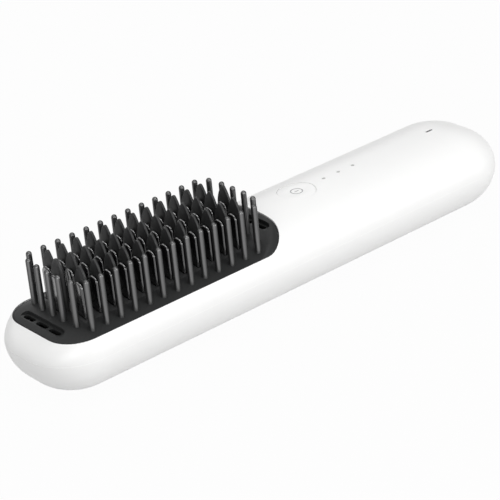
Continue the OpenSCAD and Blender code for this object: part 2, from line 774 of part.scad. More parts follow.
// Cross section of the handle's crown, lowered by t, along the deck
module handle_section(t) {
    steps = 24;
    crown = [for (i = [0 : steps]) let (y = deck_w * (i / steps - 0.5)) [y, crown_at(y) - t]];
    translate([deck_x0, 0, 0]) rotate([90, 0, 90]) linear_extrude(deck_len)
        polygon(concat([[-deck_w / 2, deck_low_z]], crown, [[deck_w / 2, deck_low_z]]));
}

// Wedge that climbs to the handle, lowered by t
module ramp(t) {
    foot_x = deck_x1 - (crown_z - deck_edge_z) / tan(ramp_angle);
    translate([0, deck_w / 2, 0]) rotate([90, 0, 0]) linear_extrude(deck_w) polygon([
        [foot_x, deck_low_z], [deck_x1 + past, deck_low_z], [deck_x1 + past, crown_z - t],
        [deck_x1, crown_z - t], [foot_x, deck_edge_z - t]]);
}

module comb_deck() {
    color([0.16, 0.16, 0.17]) difference() {
        union() {
            difference() {
                deck_form(deck_gap);
                deck_form(deck_t + deck_gap);
                block(deck_x0 - past, deck_x1 + past, deck_w, 0, skirt_z);
            }
            // Bosses, snap hooks and the thicker places under the vents
            intersection() {
                deck_form(deck_gap);
                union() {
                    at(boss_spots) translate([0, 0, bracket_z]) cylinder(h = upper_h, d = boss_d);
                    snap_hooks();
                    vent_pads();
                }
            }
        }
        at(boss_spots) translate([0, 0, bracket_z - past])
            cylinder(h = past + boss_grip + pilot_over, d = small_pilot_d);
        for (s = pin_spots) translate([s[0], s[1], deck_at(s[0], s[1]) - pin_seat])
            cylinder(h = upper_h, d = pin_foot_d + 2 * pin_gap);
        for (row = leaf_rows) translate([0, row[0], part_z]) linear_extrude(upper_h)
            strip_plan(min(strip_x0(row[1]) - strip_gap, fin_at(row[1][0]) - fin_t / 2 - fin_gap),
                strip_x1(row[1]) + strip_gap, strip_gap);
        vents();
    }
}

module snap_hooks() {
    outer_y = deck_w / 2 - ledge_w - hook_gap;
    barb_z = ledge_low_z - hook_gap - barb_t;
    for (sx = [-1, 1], sy = [-1, 1]) translate([deck_xm + sx * hook_x - hook_len / 2, 0, barb_z]) {
        translate([0, sy * (outer_y - hook_t / 2) - hook_t / 2, 0]) cube([hook_len, hook_t, upper_h]);
        translate([0, sy * outer_y - hook_gap - hook_reach, 0])
            cube([hook_len, 2 * (hook_gap + hook_reach), barb_t]);
    }
}

// Heights of the floors of the two vents
near_vent_z = deck_at(deck_x0 + vent_inset, vent_len / 2) - vent_depth / 2;
far_vent_z = crown_z - vent_inset * tan(ramp_angle) - vent_depth;
vent_spots = [[deck_x0 + vent_inset, near_vent_z], [deck_x1 - vent_inset, far_vent_z]];

module vent_pads() {
    for (v = vent_spots) translate([v[0], 0, v[1] - vent_floor_t]) linear_extrude(upper_h) rotate(90)
        slot(vent_len + vent_floor_t, vent_w + vent_floor_t);
}

module vents() {
    for (v = vent_spots) translate([v[0], 0, 0]) {
        translate([0, 0, v[1]]) linear_extrude(upper_h) rotate(90) slot(vent_len, vent_w);
        for (k = [-1 : 1]) translate([0, k * vent_slot_pitch, part_z]) linear_extrude(upper_h)
            rotate(90) slot(vent_slot_len, vent_slot_w);
    }
}

module guide_pins() {
    color([0.2, 0.2, 0.21]) for (s = pin_spots) {
        foot_z = deck_at(s[0], s[1]) - pin_seat;
        tip_z = part_z + pin_tip_rise + s[2];
        translate([s[0], s[1], foot_z])
            cylinder(h = tip_z - pin_tip_d / 2 - foot_z, d1 = pin_foot_d, d2 = pin_tip_d);
        translate([s[0], s[1], tip_z - pin_tip_d / 2]) sphere(d = pin_tip_d);
    }
}

// Outline of a leaf: straight sides, two arcs and a round tip
module leaf_outline(h) {
    arch_h = leaf_point_h - leaf_tip_r;
    r = (leaf_w * leaf_w / 4 + arch_h * arch_h - leaf_tip_r * leaf_tip_r) / (leaf_w - 2 * leaf_tip_r);
    turn = asin(arch_h / (r - leaf_tip_r));
    side = concat(
        [for (i = [0 : 10]) let (a = turn * i / 10)
            [leaf_w / 2 - r + r * cos(a), h - leaf_point_h + r * sin(a)]],
        [for (i = [1 : 5]) let (a = turn + (90 - turn) * i / 5)
            leaf_tip_r * [cos(a), sin(a)] + [0, h - leaf_tip_r]]);
    last = len(side) - 1;
    polygon(concat([[-leaf_w / 2, 0], [leaf_w / 2, 0]], side,
        [for (i = [last - 1 : -1 : 0]) [-side[i][0], side[i][1]]]));
}

// Plan of a leaf strip from x0 to x1, grown by over on its sides
module strip_plan(x0, x1, over) {
    plan(x0, x1, strip_w + 2 * over, strip_corner + over, strip_corner + over);
}

// Strip with its flange, its leaves and the holes for the fins
module leaf_strip(row, tip_z) {
    xs = row[1];
    x0 = strip_x0(xs);
    x1 = strip_x1(xs);
    foot_z = heater_z + strip_flange_t;
    strip_r = cross_r - deck_gap - strip_sink;
    difference() {
        union() {
            translate([0, row[0], heater_z]) linear_extrude(strip_flange_t)
                strip_plan(x0 - strip_flange_over, x1 + strip_flange_over, strip_flange_over);
            intersection() {
                translate([0, row[0], heater_z]) linear_extrude(upper_h) strip_plan(x0, x1, 0);
                long_round(deck_x0, deck_x1, strip_r, deck_top_z - cross_r);
                strip_end_round(strip_r + 2 * eps);
            }
            for (x = xs) translate([0, 0, foot_z]) across(x, row[0], leaf_t) leaf_outline(tip_z - foot_z);
        }
        hole_t = fin_t + 2 * fin_gap;
        hole_w = fin_w + 2 * fin_gap;
        for (x = xs) translate([fin_at(x) - hole_t / 2, row[0] - hole_w / 2, heater_z - past])
            cube([hole_t, hole_w, upper_h]);
    }
}

// Round across the brush that follows the deck down towards the comb end
module strip_end_round(r) {
    round_x = deck_x0 + deck_w / 2;
    translate([round_x, -deck_w / 2, deck_top_z - cross_r]) rotate([-90, 0, 0])
        cylinder(h = deck_w, r = r, $fn = 96);
    block(round_x, deck_x1, deck_w, part_z, crown_z);
}

module outer_leaf_strips() {
    color([0.15, 0.15, 0.16]) for (k = [0, 2]) leaf_strip(leaf_rows[k], part_z + leaf_outer_rise);
}

module centre_leaf_strip() {
    color([0.15, 0.15, 0.16]) leaf_strip(leaf_rows[1], part_z + leaf_centre_rise);
}

// Fin with a round top that stands on the heater plate
module fin(x, y, tip_z) {
    translate([0, 0, heater_z - eps]) across(x, y, fin_t) {
        translate([-fin_w / 2, 0]) square([fin_w, tip_z - fin_w / 2 - heater_z + eps]);
        translate([0, tip_z - fin_w / 2 - heater_z + eps]) circle(d = fin_w);
    }
}

module heater_block() {
    color([0.1, 0.1, 0.11]) {
        translate([0, 0, plate_low_z]) linear_extrude(heater_t)
            plan(deck_xm - plate_half, deck_xm + plate_half, heater_w, heater_corner, heater_corner);
        for (row = leaf_rows, x = row[1])
            fin(fin_at(x), row[0], part_z + (row[0] == 0 ? fin_centre_rise : fin_outer_rise));
    }
}

module heating_elements() {
    color("silver") for (sy = [-1, 1])
        translate([deck_xm - element_len / 2, sy * element_y - element_w / 2, element_z])
            cube([element_len, element_w, element_t]);
}

module mica_sheet() {
    color("tan") block(deck_xm - mica_len / 2, deck_xm + mica_len / 2, mica_w, bracket_z, element_z);
}

module heater_bracket() {
    rim = mica_gap + bracket_rim_t;
    r = deck_corner - ledge_w - bracket_side_gap;
    color([0.75, 0.72, 0.66]) difference() {
        union() {
            translate([0, 0, bracket_low_z]) linear_extrude(bracket_t)
                plan(deck_xm - bracket_len / 2, deck_xm + bracket_len / 2, bracket_w, r, r);
            difference() {
                block(deck_xm - mica_len / 2 - rim, deck_xm + mica_len / 2 + rim, mica_w + 2 * rim,
                    bracket_low_z + eps, plate_low_z);
                block(deck_xm - mica_len / 2 - mica_gap, deck_xm + mica_len / 2 + mica_gap,
                    mica_w + 2 * mica_gap, bracket_z, plate_low_z + past);
            }
            at(head_spots) translate([0, 0, head_post_z])
                cylinder(h = bracket_low_z - head_post_z + eps, d = screw_d + 2 * post_wall);
        }
        // Notches for the leads of the heating elements
        for (sy = [-1, 1]) translate([deck_xm, sy * element_y - wire_d, bracket_z])
            cube([bracket_len, 2 * wire_d, upper_h]);
        at(boss_spots) translate([0, 0, bracket_low_z - past])
            cylinder(h = bracket_t + 2 * past, d = small_screw_d + 2 * through_gap);
        at(head_spots) translate([0, 0, head_post_z - past])
            cylinder(h = bracket_z - head_post_skin - head_post_z + past, d = screw_d + 2 * pilot_gap);
    }
}

module bracket_screws() {
    color("gray") at(boss_spots)
        screw(bracket_low_z, small_screw_d, bracket_t + boss_grip, small_head_d, small_head_h);
}

module thermal_fuse() {
    color("lightgray") translate([deck_xm - probe_x - fuse_len / 2, 0, plate_low_z - fuse_d / 2])
        rotate([0, 90, 0]) cylinder(h = fuse_len, d = fuse_d);
}

module temperature_sensor() {
    color("orange") translate([deck_xm + probe_x - sensor_len / 2, 0, plate_low_z - sensor_d / 2]) {
        rotate([0, 90, 0]) cylinder(h = sensor_len, d = sensor_d);
        sphere(d = sensor_d);
    }
}

module deck_seal() {
    color([0.25, 0.25, 0.26]) translate([0, 0, ledge_z]) linear_extrude(seal_t) difference() {
        deck_plan(deck_gap);
        deck_plan(deck_t + deck_gap);
    }
}

// Ring and bar of the power symbol, as an outline
module power_symbol() {
    difference() {
        circle(d = symbol_d);
        circle(d = symbol_d - 2 * symbol_line);
    }
    square([symbol_d * 0.42, symbol_line], center = true);
}

module button_cap() {
    dish_r = arch_r(button_d - 2 * dish_rim, dish_depth);
    color("white") translate([button_x, 0, 0]) difference() {
        union() {
            intersection() {
                translate([0, 0, button_flange_z]) cylinder(h = upper_h, d = button_d);
                long_round(-button_d, button_d, button_crown_r, crown_z - flush_gap - button_crown_r);
            }
            translate([0, 0, button_flange_z])
                cylinder(h = button_flange_t, d = button_d + 2 * button_flange_over);
        }
        difference() {
            translate([0, 0, button_flange_z - past])
                cylinder(h = button_roof_z - button_flange_z + past, d = button_d - 2 * button_t);
            translate([0, 0, stem_top_z]) cylinder(h = upper_h, d = stem_d);
        }
        translate([0, 0, dish_low_z + dish_r]) sphere(r = dish_r, $fn = 96);
        translate([0, 0, dish_low_z - symbol_depth]) linear_extrude(past) power_symbol();
    }
}

module button_return_pad() {
    color("silver") translate([button_x, 0, board_z]) difference() {
        cylinder(h = button_flange_z - board_z, d = button_d + 2 * button_flange_over);
        translate([0, 0, -past]) cylinder(h = upper_h, d = button_d - button_t);
    }
}

module power_switch() {
    color("dimgray") translate([button_x, 0, board_z]) difference() {
        translate([-switch_w / 2, -switch_w / 2, 0]) cube([switch_w, switch_w, switch_h]);
        translate([0, 0, switch_floor_t]) cylinder(h = switch_h, d = stem_d + 2 * stem_gap);
    }
}

module switch_stem() {
    color("black") translate([button_x, 0, stem_low_z]) cylinder(h = stem_top_z - stem_low_z, d = stem_d);
}

module light_guide() {
    leg_z = board_z + led_h + light_gap;
    color("white") {
        translate([light_x0 + light_pitch * (lights - 1) / 2, 0, guide_low_z]) linear_extrude(guide_t)
            slot(guide_len, guide_w);
        for (x = light_xs) {
            translate([x, 0, guide_z - eps]) cylinder(h = crown_z - flush_gap - guide_z, d = light_d);
            translate([x, 0, leg_z])
                cylinder(h = guide_low_z - leg_z + eps, d = light_d + 2 * guide_leg_over);
        }
    }
}

module indicator_leds() {
    color("lightyellow") for (x = concat(light_xs, [window_x]))
        block(x - led_len / 2, x + led_len / 2, led_w, board_z, board_z + led_h);
}

module charge_window() {
    color("black") translate([window_x, 0, 0]) {
        translate([0, 0, window_seat_z - window_flange_t]) linear_extrude(window_flange_t)
            slot(window_len + 2 * window_over, window_w + 2 * window_over);
        translate([0, 0, window_seat_z - eps])
            linear_extrude(crown_z - flush_gap - window_seat_z + eps) slot(window_len, window_w);
    }
}

module main_board() {
    color("darkgreen") difference() {
        block(board_x0, board_x0 + board_len, board_w, board_low_z, board_z);
        at(board_spots) translate([0, 0, board_low_z - past])
            cylinder(h = board_t + 2 * past, d = small_screw_d + through_gap);
    }
}

module board_screws() {
    color("gray") at(board_spots)
        screw(board_low_z, small_screw_d, board_t + board_grip, small_head_d, small_head_h);
}

module battery_cells() {
    color("steelblue") for (sy = [-1, 1]) translate([cell_x0, sy * cell_y, cell_z]) rotate([0, 90, 0])
        cylinder(h = cell_x1 - cell_x0, d = cell_d);
}

module battery_cradle() {
    x0 = cell_x0 - strap_t - cradle_gap;
    x1 = cell_x1 + strap_t + cradle_gap;
    color([0.3, 0.3, 0.32]) {
        difference() {
            block(x0 - cradle_t, x1 + cradle_t, cradle_w, cradle_low_z, cell_z);
            block(x0, x1, cradle_w + past, cradle_low_z + cradle_t + cradle_rib_h, cell_z + past);
            for (sy = [-1, 1]) translate([x0, sy * cell_y, cell_z]) rotate([0, 90, 0])
                cylinder(h = x1 - x0, d = cell_d + 2 * cradle_gap);
        }
        // Foot on the floor of the lower shell
        block(x0 - cradle_t, x1 + cradle_t, rest_w - 2 * cradle_side, wall + 2 * eps, cradle_low_z + eps);
    }
}

module battery_straps() {
    color("silver") {
        for (sy = [-1, 1]) translate([cell_x0 - strap_t, sy * cell_y - strap_w / 2, cell_z - strap_w / 2])
            cube([strap_t, strap_w, strap_w + wire_d]);
        block(cell_x1, cell_x1 + strap_t, 2 * cell_y + strap_w, cell_z - bridge_w / 2,
            cell_z + bridge_w / 2);
    }
}

module charging_socket() {
    color("silver") {
        translate([port_x0, 0, part_z]) rotate([90, 0, 90]) difference() {
            linear_extrude(port_depth) slot(port_w, port_h);
            translate([0, 0, port_floor_t]) linear_extrude(port_depth)
                slot(port_w - 2 * port_wall, port_h - 2 * port_wall);
        }
        // Tongue inside the socket
        block(port_x0 + port_floor_t - eps, port_x0 + port_depth - tongue_inset, tongue_w,
            part_z - tongue_t / 2, part_z + tongue_t / 2);
    }
}

module charging_board() {
    color("darkgreen") block(port_board_x1 - port_board_len, port_board_x1, port_board_w,
        port_low_z - port_board_t, port_low_z);
}

module heater_leads() {
    color("crimson") for (sy = [-1, 1])
        wire(deck_xm + element_len / 2, board_x0 + lead_inset, sy * element_y,
            element_z + lead_rise, board_low_z);
}

module battery_leads() {
    color("crimson") for (sy = [-1, 1])
        wire(cell_x0 - strap_t, cell_x0 - strap_t - lead_bend, sy * cell_y, cell_z + strap_w / 2,
            board_low_z);
}

module charging_leads() {
    lead_x = port_board_x1 - port_board_len + wire_d;
    color("crimson") {
        wire(lead_x, board_x0 + board_len - lead_inset, 0, port_lead_z, board_low_z);
        translate([lead_x, 0, port_lead_z]) sphere(d = wire_d);
        translate([lead_x, 0, port_low_z]) cylinder(h = port_lead_z - port_low_z, d = wire_d);
    }
}

module shell_screws() {
    color("gray") at(shell_spots)
        screw(seat_h, screw_d, part_z - seat_h + screw_grip, screw_head_d, screw_head_h);
}

module head_screws() {
    color("gray") at(head_spots)
        screw(head_seat_h, screw_d, bracket_z - head_post_skin - pilot_over - head_seat_h, screw_head_d,
            screw_head_h);
}

module screw_plugs() {
    color("white") intersection() {
        lower_form(plug_sink);
        union() {
            at(shell_spots) cylinder(h = seat_h - screw_head_h, d = head_bore_d - 2 * pilot_gap);
            at(head_spots) cylinder(h = head_seat_h - screw_head_h, d = head_bore_d - 2 * pilot_gap);
        }
    }
}

upper_shell();
lower_shell();
comb_deck();
guide_pins();
outer_leaf_strips();
centre_leaf_strip();
heater_block();
heating_elements();
mica_sheet();
heater_bracket();
bracket_screws();
thermal_fuse();
temperature_sensor();
deck_seal();
button_cap();
button_return_pad();
power_switch();
switch_stem();
light_guide();
indicator_leds();
charge_window();
main_board();
board_screws();
battery_cells();
battery_cradle();
battery_straps();
charging_socket();
charging_board();
heater_leads();
battery_leads();
charging_leads();
shell_screws();
head_screws();
screw_plugs();
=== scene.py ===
# %% [markdown]
# # A cordless straightening brush
#
# The brush lies on its back with its teeth up. The imported CAD model gives every piece its place,
# in metres, with the origin in the middle of the flat rest under the body. This script keeps that
# frame and builds the looks on it: smooth moulded shells, a domed comb deck, rounded teeth, small
# print and soft studio light. We load the frame first. The visual model must stay inside it.

# %% Load the frame
import math
import bmesh
import bpy
from mathutils import Matrix, Vector
from mathutils.bvhtree import BVHTree
from mathutils.interpolate import poly_3d_calc


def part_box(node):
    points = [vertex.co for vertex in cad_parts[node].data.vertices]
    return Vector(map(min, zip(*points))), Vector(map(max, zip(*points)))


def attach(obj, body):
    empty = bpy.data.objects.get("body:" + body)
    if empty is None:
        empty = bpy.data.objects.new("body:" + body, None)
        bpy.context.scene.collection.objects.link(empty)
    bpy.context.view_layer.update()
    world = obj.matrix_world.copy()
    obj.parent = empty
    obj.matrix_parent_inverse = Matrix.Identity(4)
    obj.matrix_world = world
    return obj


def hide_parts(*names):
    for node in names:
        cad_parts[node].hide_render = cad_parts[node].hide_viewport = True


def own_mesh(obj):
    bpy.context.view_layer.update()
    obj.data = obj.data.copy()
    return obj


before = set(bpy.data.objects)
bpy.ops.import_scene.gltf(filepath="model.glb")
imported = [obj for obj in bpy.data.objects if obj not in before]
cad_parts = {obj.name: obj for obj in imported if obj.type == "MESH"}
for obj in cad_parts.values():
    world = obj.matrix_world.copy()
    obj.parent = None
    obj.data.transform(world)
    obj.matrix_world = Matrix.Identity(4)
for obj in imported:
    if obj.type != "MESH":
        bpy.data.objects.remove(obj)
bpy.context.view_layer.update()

# %% [markdown]
# A drawing of a hand-held product is read in millimetres, and Blender's frame is in metres. We
# write every size as the drawing has it and scale each mesh once, when its piece is finished.
# The names below are the drawing's own: the body, the deck that carries the teeth, the teeth,
# the button and the lights.

# %% Sizes of the drawing, in millimetres
mm = 0.001
head_x, tail_x, body_w = -109.0, 108.97, 45.0
lower_h, upper_h, wall = 16.5, 15.2, 2.0
part_z, crown_z = lower_h, lower_h + upper_h
head_corner, tail_corner, head_slope = 18.5, 18.4, 45.0
crown_half_w, rest_w = 0.6, 10.0
top_power, head_power, low_power = 2.25, 1.8, 1.95
lip_in, lip_out, lip_h = 3.5, 2.3, 1.0

deck_x0, deck_x1, deck_w, deck_corner = -102.6, -3.6, 41.0, 11.5
deck_edge_z, deck_crown, deck_gap, deck_t = 23.5, 4.7, 0.15, 2.0
deck_top_z, skirt_z = deck_edge_z + deck_crown, 21.5
ramp_slope = math.tan(math.radians(29))
cross_r = (deck_w ** 2 / 4 + deck_crown ** 2) / (2 * deck_crown)
deck_xm = (deck_x0 + deck_x1) / 2

pitch, row_x0 = 6.1, deck_xm - 6 * 6.1
whole_steps = [row_x0 + i * pitch for i in range(13)]
half_steps = [row_x0 + (i + 0.5) * pitch for i in range(12)]
leaf_row_y, pin_row_y, heater_z = 9.15, 16.5, 23.2
leaf_w, leaf_t, leaf_point, leaf_tip_r = 7.4, 1.1, 9.0, 1.0
fin_w, fin_t, fin_gap, fin_lead = 4.8, 1.2, 0.2, 0.3
strip_w, strip_corner, strip_over, strip_gap = 7.6, 1.0, 1.2, 0.15
fin_back = (leaf_t + fin_t) / 2 + fin_lead
print("teeth from", round(whole_steps[0], 2), "to", round(whole_steps[-1], 2), "mm")

# %% [markdown]
# A product photograph like this one is taken from well away with a long lens, so that the far end
# of the handle isn't much smaller than the comb. The camera therefore stands about three quarters
# of a metre off, at the comb end and to the side, 26 degrees above the table, with a long lens and
# a slight roll. We set its place and turn directly, because that keeps the frame exact.

# %% Camera
lens = bpy.data.cameras.new("studio_camera")
lens.lens, lens.sensor_width = 145.38, 36.0
lens.clip_start, lens.clip_end = 0.05, 20.0
camera = bpy.data.objects.new("studio_camera", lens)
bpy.context.scene.collection.objects.link(camera)
camera.location = (-0.411689, -0.517344, 0.342640)
camera.rotation_euler = [math.radians(a) for a in (63.4936, 5.1475, -40.5783)]
bpy.context.scene.camera = camera
bpy.context.scene.view_settings.view_transform = "Standard"
print("camera", round(camera.location.length, 3), "m from the middle of the rest")

# %% [markdown]
# Moulded plastic is never one flat colour. It has a faint mottle from the pigment, a fine grain
# from the mould's eroded surface, and places that are a little more or less glossy. We could paint
# these as textures, but node patterns on Object coordinates need no unwrapping and keep their real
# size on every piece. One helper makes this finish for all plastics, rubbers and coatings, and
# each gets its own colour, gloss, grain size and grain depth.

# %% Helper: a moulded or coated finish
def moulded(name, colour, gloss, grain, depth, mottle=0.03, spread=0.05):
    finish = bpy.data.materials.new(name)
    finish.use_nodes = True
    nodes, links = finish.node_tree.nodes, finish.node_tree.links
    shader = nodes["Principled BSDF"]
    place = nodes.new("ShaderNodeTexCoord")
    turn = nodes.new("ShaderNodeMapping")
    links.new(place.outputs["Object"], turn.inputs["Vector"])
    cloud = nodes.new("ShaderNodeTexNoise")
    cloud.inputs["Scale"].default_value = 90.0
    cloud.inputs["Detail"].default_value = 3.0
    links.new(turn.outputs["Vector"], cloud.inputs["Vector"])
    tint = nodes.new("ShaderNodeValToRGB")
    tint.color_ramp.elements[0].position = 0.3
    tint.color_ramp.elements[1].position = 0.7
    tint.color_ramp.elements[0].color = [c * (1 - mottle) for c in colour] + [1]
    tint.color_ramp.elements[1].color = [min(1, c * (1 + mottle)) for c in colour] + [1]
    links.new(cloud.outputs["Fac"], tint.inputs["Fac"])
    links.new(tint.outputs["Color"], shader.inputs["Base Color"])
    speck = nodes.new("ShaderNodeTexNoise")
    speck.inputs["Scale"].default_value = 1.0 / (grain * mm)
    speck.inputs["Detail"].default_value = 2.0
    links.new(turn.outputs["Vector"], speck.inputs["Vector"])
    sheen = nodes.new("ShaderNodeMapRange")
    sheen.inputs["From Min"].default_value = 0.3
    sheen.inputs["From Max"].default_value = 0.7
    sheen.inputs["To Min"].default_value = gloss - spread
    sheen.inputs["To Max"].default_value = gloss + spread
    links.new(speck.outputs["Fac"], sheen.inputs["Value"])
    links.new(sheen.outputs["Result"], shader.inputs["Roughness"])
    bump = nodes.new("ShaderNodeBump")
    bump.inputs["Strength"].default_value = 1.0
    bump.inputs["Distance"].default_value = depth * mm
    links.new(speck.outputs["Fac"], bump.inputs["Height"])
    links.new(bump.outputs["Normal"], shader.inputs["Normal"])
    return finish


# %% [markdown]
# Bare metal needs the same parts, but its look comes from reflection: a high metallic value, a
# colour that tints the reflection, and fine drawn lines. We stretch the noise along one axis with
# the Mapping node, because screws, straps and sockets are drawn or rolled in one direction.

# %% Helper: a drawn or plated metal finish
def set_values(node, values):
    for socket, value in values.items():
        node.inputs[socket].default_value = value


def shader_of(finish):
    return finish.node_tree.nodes["Principled BSDF"]


def drawn_metal(name, colour, gloss, along=(0.05, 1.0, 1.0), lines=0.08, depth=0.004):
    finish = moulded(name, colour, gloss, lines, depth, mottle=0.06, spread=0.08)
    set_values(shader_of(finish), {"Metallic": 1.0})
    set_values(finish.node_tree.nodes["Mapping"], {"Scale": along})
    return finish


# %% [markdown]
# The case is glossy white, the deck is a calm black, and the leaves are a little greyer. The heater
# has a hard clear coat. The guide pins have one too, but ours is set by the way a face is turned:
# full where it faces the viewer and none at the edges. A real coat does the opposite. We do it to
# get the bright middle and dark sides of the photograph, and only gloss depends on the view.

# %% Finishes of the outside
white_case = moulded("white_case", (0.88, 0.88, 0.875), 0.36, 0.30, 0.0006,
                     mottle=0.004, spread=0.03)
black_plastic = moulded("black_plastic", (0.0125, 0.0132, 0.0134), 0.50, 0.16, 0.003, mottle=0.10)
set_values(shader_of(black_plastic), {"Specular IOR Level": 0.36})
black_leaves = moulded("black_leaves", (0.0185, 0.019, 0.0193), 0.46, 0.20, 0.002, mottle=0.10)
black_teeth = moulded("black_teeth", (0.016, 0.0165, 0.0168), 0.40, 0.20, 0.002,
                      mottle=0.10, spread=0.03)
set_values(shader_of(black_teeth), {"Coat IOR": 2.15, "Coat Roughness": 0.30})
nodes, links = black_teeth.node_tree.nodes, black_teeth.node_tree.links
turned_away = nodes.new("ShaderNodeLayerWeight")
coat = nodes.new("ShaderNodeMapRange")
set_values(coat, {"From Min": 0.10, "From Max": 0.40, "To Min": 1.0, "To Max": 0.0})
links.new(turned_away.outputs["Facing"], coat.inputs["Value"])
links.new(coat.outputs["Result"], shader_of(black_teeth).inputs["Coat Weight"])
coated_heater = moulded("coated_heater", (0.006, 0.006, 0.0065), 0.20, 0.25, 0.0008,
                        mottle=0.2, spread=0.04)
set_values(shader_of(coated_heater), {"Coat Weight": 1.0, "Coat IOR": 2.15, "Coat Roughness": 0.12})
dark_window = moulded("dark_window", (0.05, 0.05, 0.052), 0.12, 0.5, 0.0003,
                      mottle=0.1, spread=0.02)
light_plastic = moulded("light_plastic", (0.42, 0.42, 0.41), 0.30, 0.4, 0.0005, mottle=0.05)
grey_print = moulded("grey_print", (0.36, 0.36, 0.37), 0.50, 0.12, 0.001, mottle=0.05)
print("finishes of the outside:", len(bpy.data.materials))

# %% [markdown]
# Every new piece leaves its bmesh in the same way: scaled from millimetres, its faces pointing
# outwards, smooth except where two faces meet at a real edge, riding on its CAD body, and with the
# CAD node that it stands for hidden. One helper does this, so that no piece misses a step.

# %% Helper: finish a piece
def object_from(name, bm):
    mesh = bpy.data.meshes.new(name)
    bm.to_mesh(mesh)
    bm.free()
    mesh.polygons.foreach_set("use_smooth", [True] * len(mesh.polygons))
    piece = bpy.data.objects.new(name, mesh)
    bpy.context.scene.collection.objects.link(piece)
    return piece


def hand_over(piece, finish, stands_for=(), body="housing", edge=34):
    if edge:
        piece.data.set_sharp_from_angle(angle=math.radians(edge))
    piece.data.materials.clear()
    piece.data.materials.append(finish)
    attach(piece, body)
    if stands_for:
        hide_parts(*stands_for)
    size = [round((max(v.co[k] for v in piece.data.vertices) -
                   min(v.co[k] for v in piece.data.vertices)) / mm, 1) for k in range(3)]
    print(piece.name, "measures", size, "mm with", len(piece.data.polygons), "faces")
    return piece


def to_metres(bm):
    bmesh.ops.scale(bm, vec=(mm, mm, mm), verts=bm.verts)
    bmesh.ops.recalc_face_normals(bm, faces=bm.faces)
    return bm


def finish_piece(name, bm, finish, stands_for=(), body="housing", edge=34):
    return hand_over(object_from(name, to_metres(bm)), finish, stands_for, body, edge)


# %% [markdown]
# The body is a long pebble: seen from above it is a rectangle with round corners, and each level
# above or below the parting line is a smaller one. Stacking such outlines and joining them is
# called lofting. In bmesh a loft starts from a circle whose points are moved onto the first
# outline, and every further level is an extrusion of that ring's edges, moved onto the next
# outline. All outlines have the same number of points, so the walls are clean quads.

# %% Helper: outlines and lofts
def outline(half_w, x0, x1, r0, r1, z, side_steps=40, end_steps=8, corner_steps=12):
    r0, r1 = min(r0, half_w - 0.02), min(r1, half_w - 0.02)
    points = []

    def straight(a, b, steps):
        points.extend((a[0] + (b[0] - a[0]) * i / steps, a[1] + (b[1] - a[1]) * i / steps)
                      for i in range(steps))

    def corner(x, y, r, start):
        for i in range(corner_steps):
            angle = math.radians(start + 90 * i / corner_steps)
            points.append((x + r * math.cos(angle), y + r * math.sin(angle)))

    straight((x0 + r0, -half_w), (x1 - r1, -half_w), side_steps)
    corner(x1 - r1, r1 - half_w, r1, -90)
    straight((x1, r1 - half_w), (x1, half_w - r1), end_steps)
    corner(x1 - r1, half_w - r1, r1, 0)
    straight((x1 - r1, half_w), (x0 + r0, half_w), side_steps)
    corner(x0 + r0, half_w - r0, r0, 90)
    straight((x0, half_w - r0), (x0, r0 - half_w), end_steps)
    corner(x0 + r0, r0 - half_w, r0, 180)
    return [Vector((x, y, z(x, y) if callable(z) else z)) for x, y in points]


def loft(bm, rings, cap_first=True, cap_last=True):
    ring = sorted(bmesh.ops.create_circle(bm, segments=len(rings[0]), radius=1.0)["verts"],
                  key=lambda v: math.atan2(v.co.y, v.co.x))
    for v, point in zip(ring, rings[0]):
        v.co = point
    first = ring
    for points in rings[1:]:
        count = len(ring)
        edges = [bm.edges.get((ring[i], ring[(i + 1) % count])) for i in range(count)]
        made = set(g for g in bmesh.ops.extrude_edge_only(bm, edges=edges)["geom"]
                   if isinstance(g, bmesh.types.BMVert))
        ring = [next(e.other_vert(v) for e in v.link_edges if e.other_vert(v) in made)
                for v in ring]
        for v, point in zip(ring, points):
            v.co = point
    for wanted, end in ((cap_first, first), (cap_last, ring)):
        if wanted:
            bmesh.ops.contextual_create(bm, geom=end)
    return bm


# %% [markdown]
# Now the levels. A power curve says how far a level is drawn in: slowly at the parting line and
# fast near the crown, as on a moulded handle. The comb's end slopes back further than the sides.
# The shares of the height lie close together where the curve is steep, so the skin stays smooth.

# %% Levels of the body
def draw_in(share, reach, power):
    return reach * (1 - max(0.0, 1 - share ** power) ** (1 / power))


def upper_level(t, share, inset=0.0):
    half_w = body_w / 2 - t
    in_side = draw_in(share, half_w - crown_half_w, top_power)
    in_head = draw_in(share, head_slope, head_power)
    w = half_w - in_side
    return outline(w - inset, head_x + t + in_head + inset, tail_x - t - in_side - inset,
                   min(w, max(3, head_corner - t - 1.08 * in_head)) - inset,
                   (tail_corner - t) * w / half_w - inset, part_z + share * (upper_h - t))


def lower_level(t, share, inset=0.0):
    half_w = body_w / 2 - t
    in_side = draw_in(share, half_w - rest_w / 2, low_power)
    w = half_w - in_side
    return outline(w - inset, head_x + t + in_side + inset, tail_x - t - in_side - inset,
                   (head_corner - t) * w / half_w - inset, (tail_corner - t) * w / half_w - inset,
                   part_z - share * (lower_h - t))


def plan_ring(inset, z):
    return outline(body_w / 2 - inset, head_x + inset, tail_x - inset, head_corner - inset,
                   tail_corner - inset, z)


def shares(steps, power, start=0.0):
    return [math.sin(start + (math.pi / 2 - start) * i / steps) ** (2 / power)
            for i in range(steps + 1)]


print("an outline has", len(plan_ring(0, 0)), "points")

# %% [markdown]
# Holes are cut with Boolean modifiers, because the deck's opening, the button's hole and the
# screw holes cross many faces of the loft. A Boolean leaves long thin faces beside each hole, and
# smooth shading would show them as smears on the gloss. So we keep the uncut skin, look up its
# normal at each corner of the cut mesh, and give that normal to the corner. The cut piece then
# shines exactly like the uncut skin, right up to the rim.

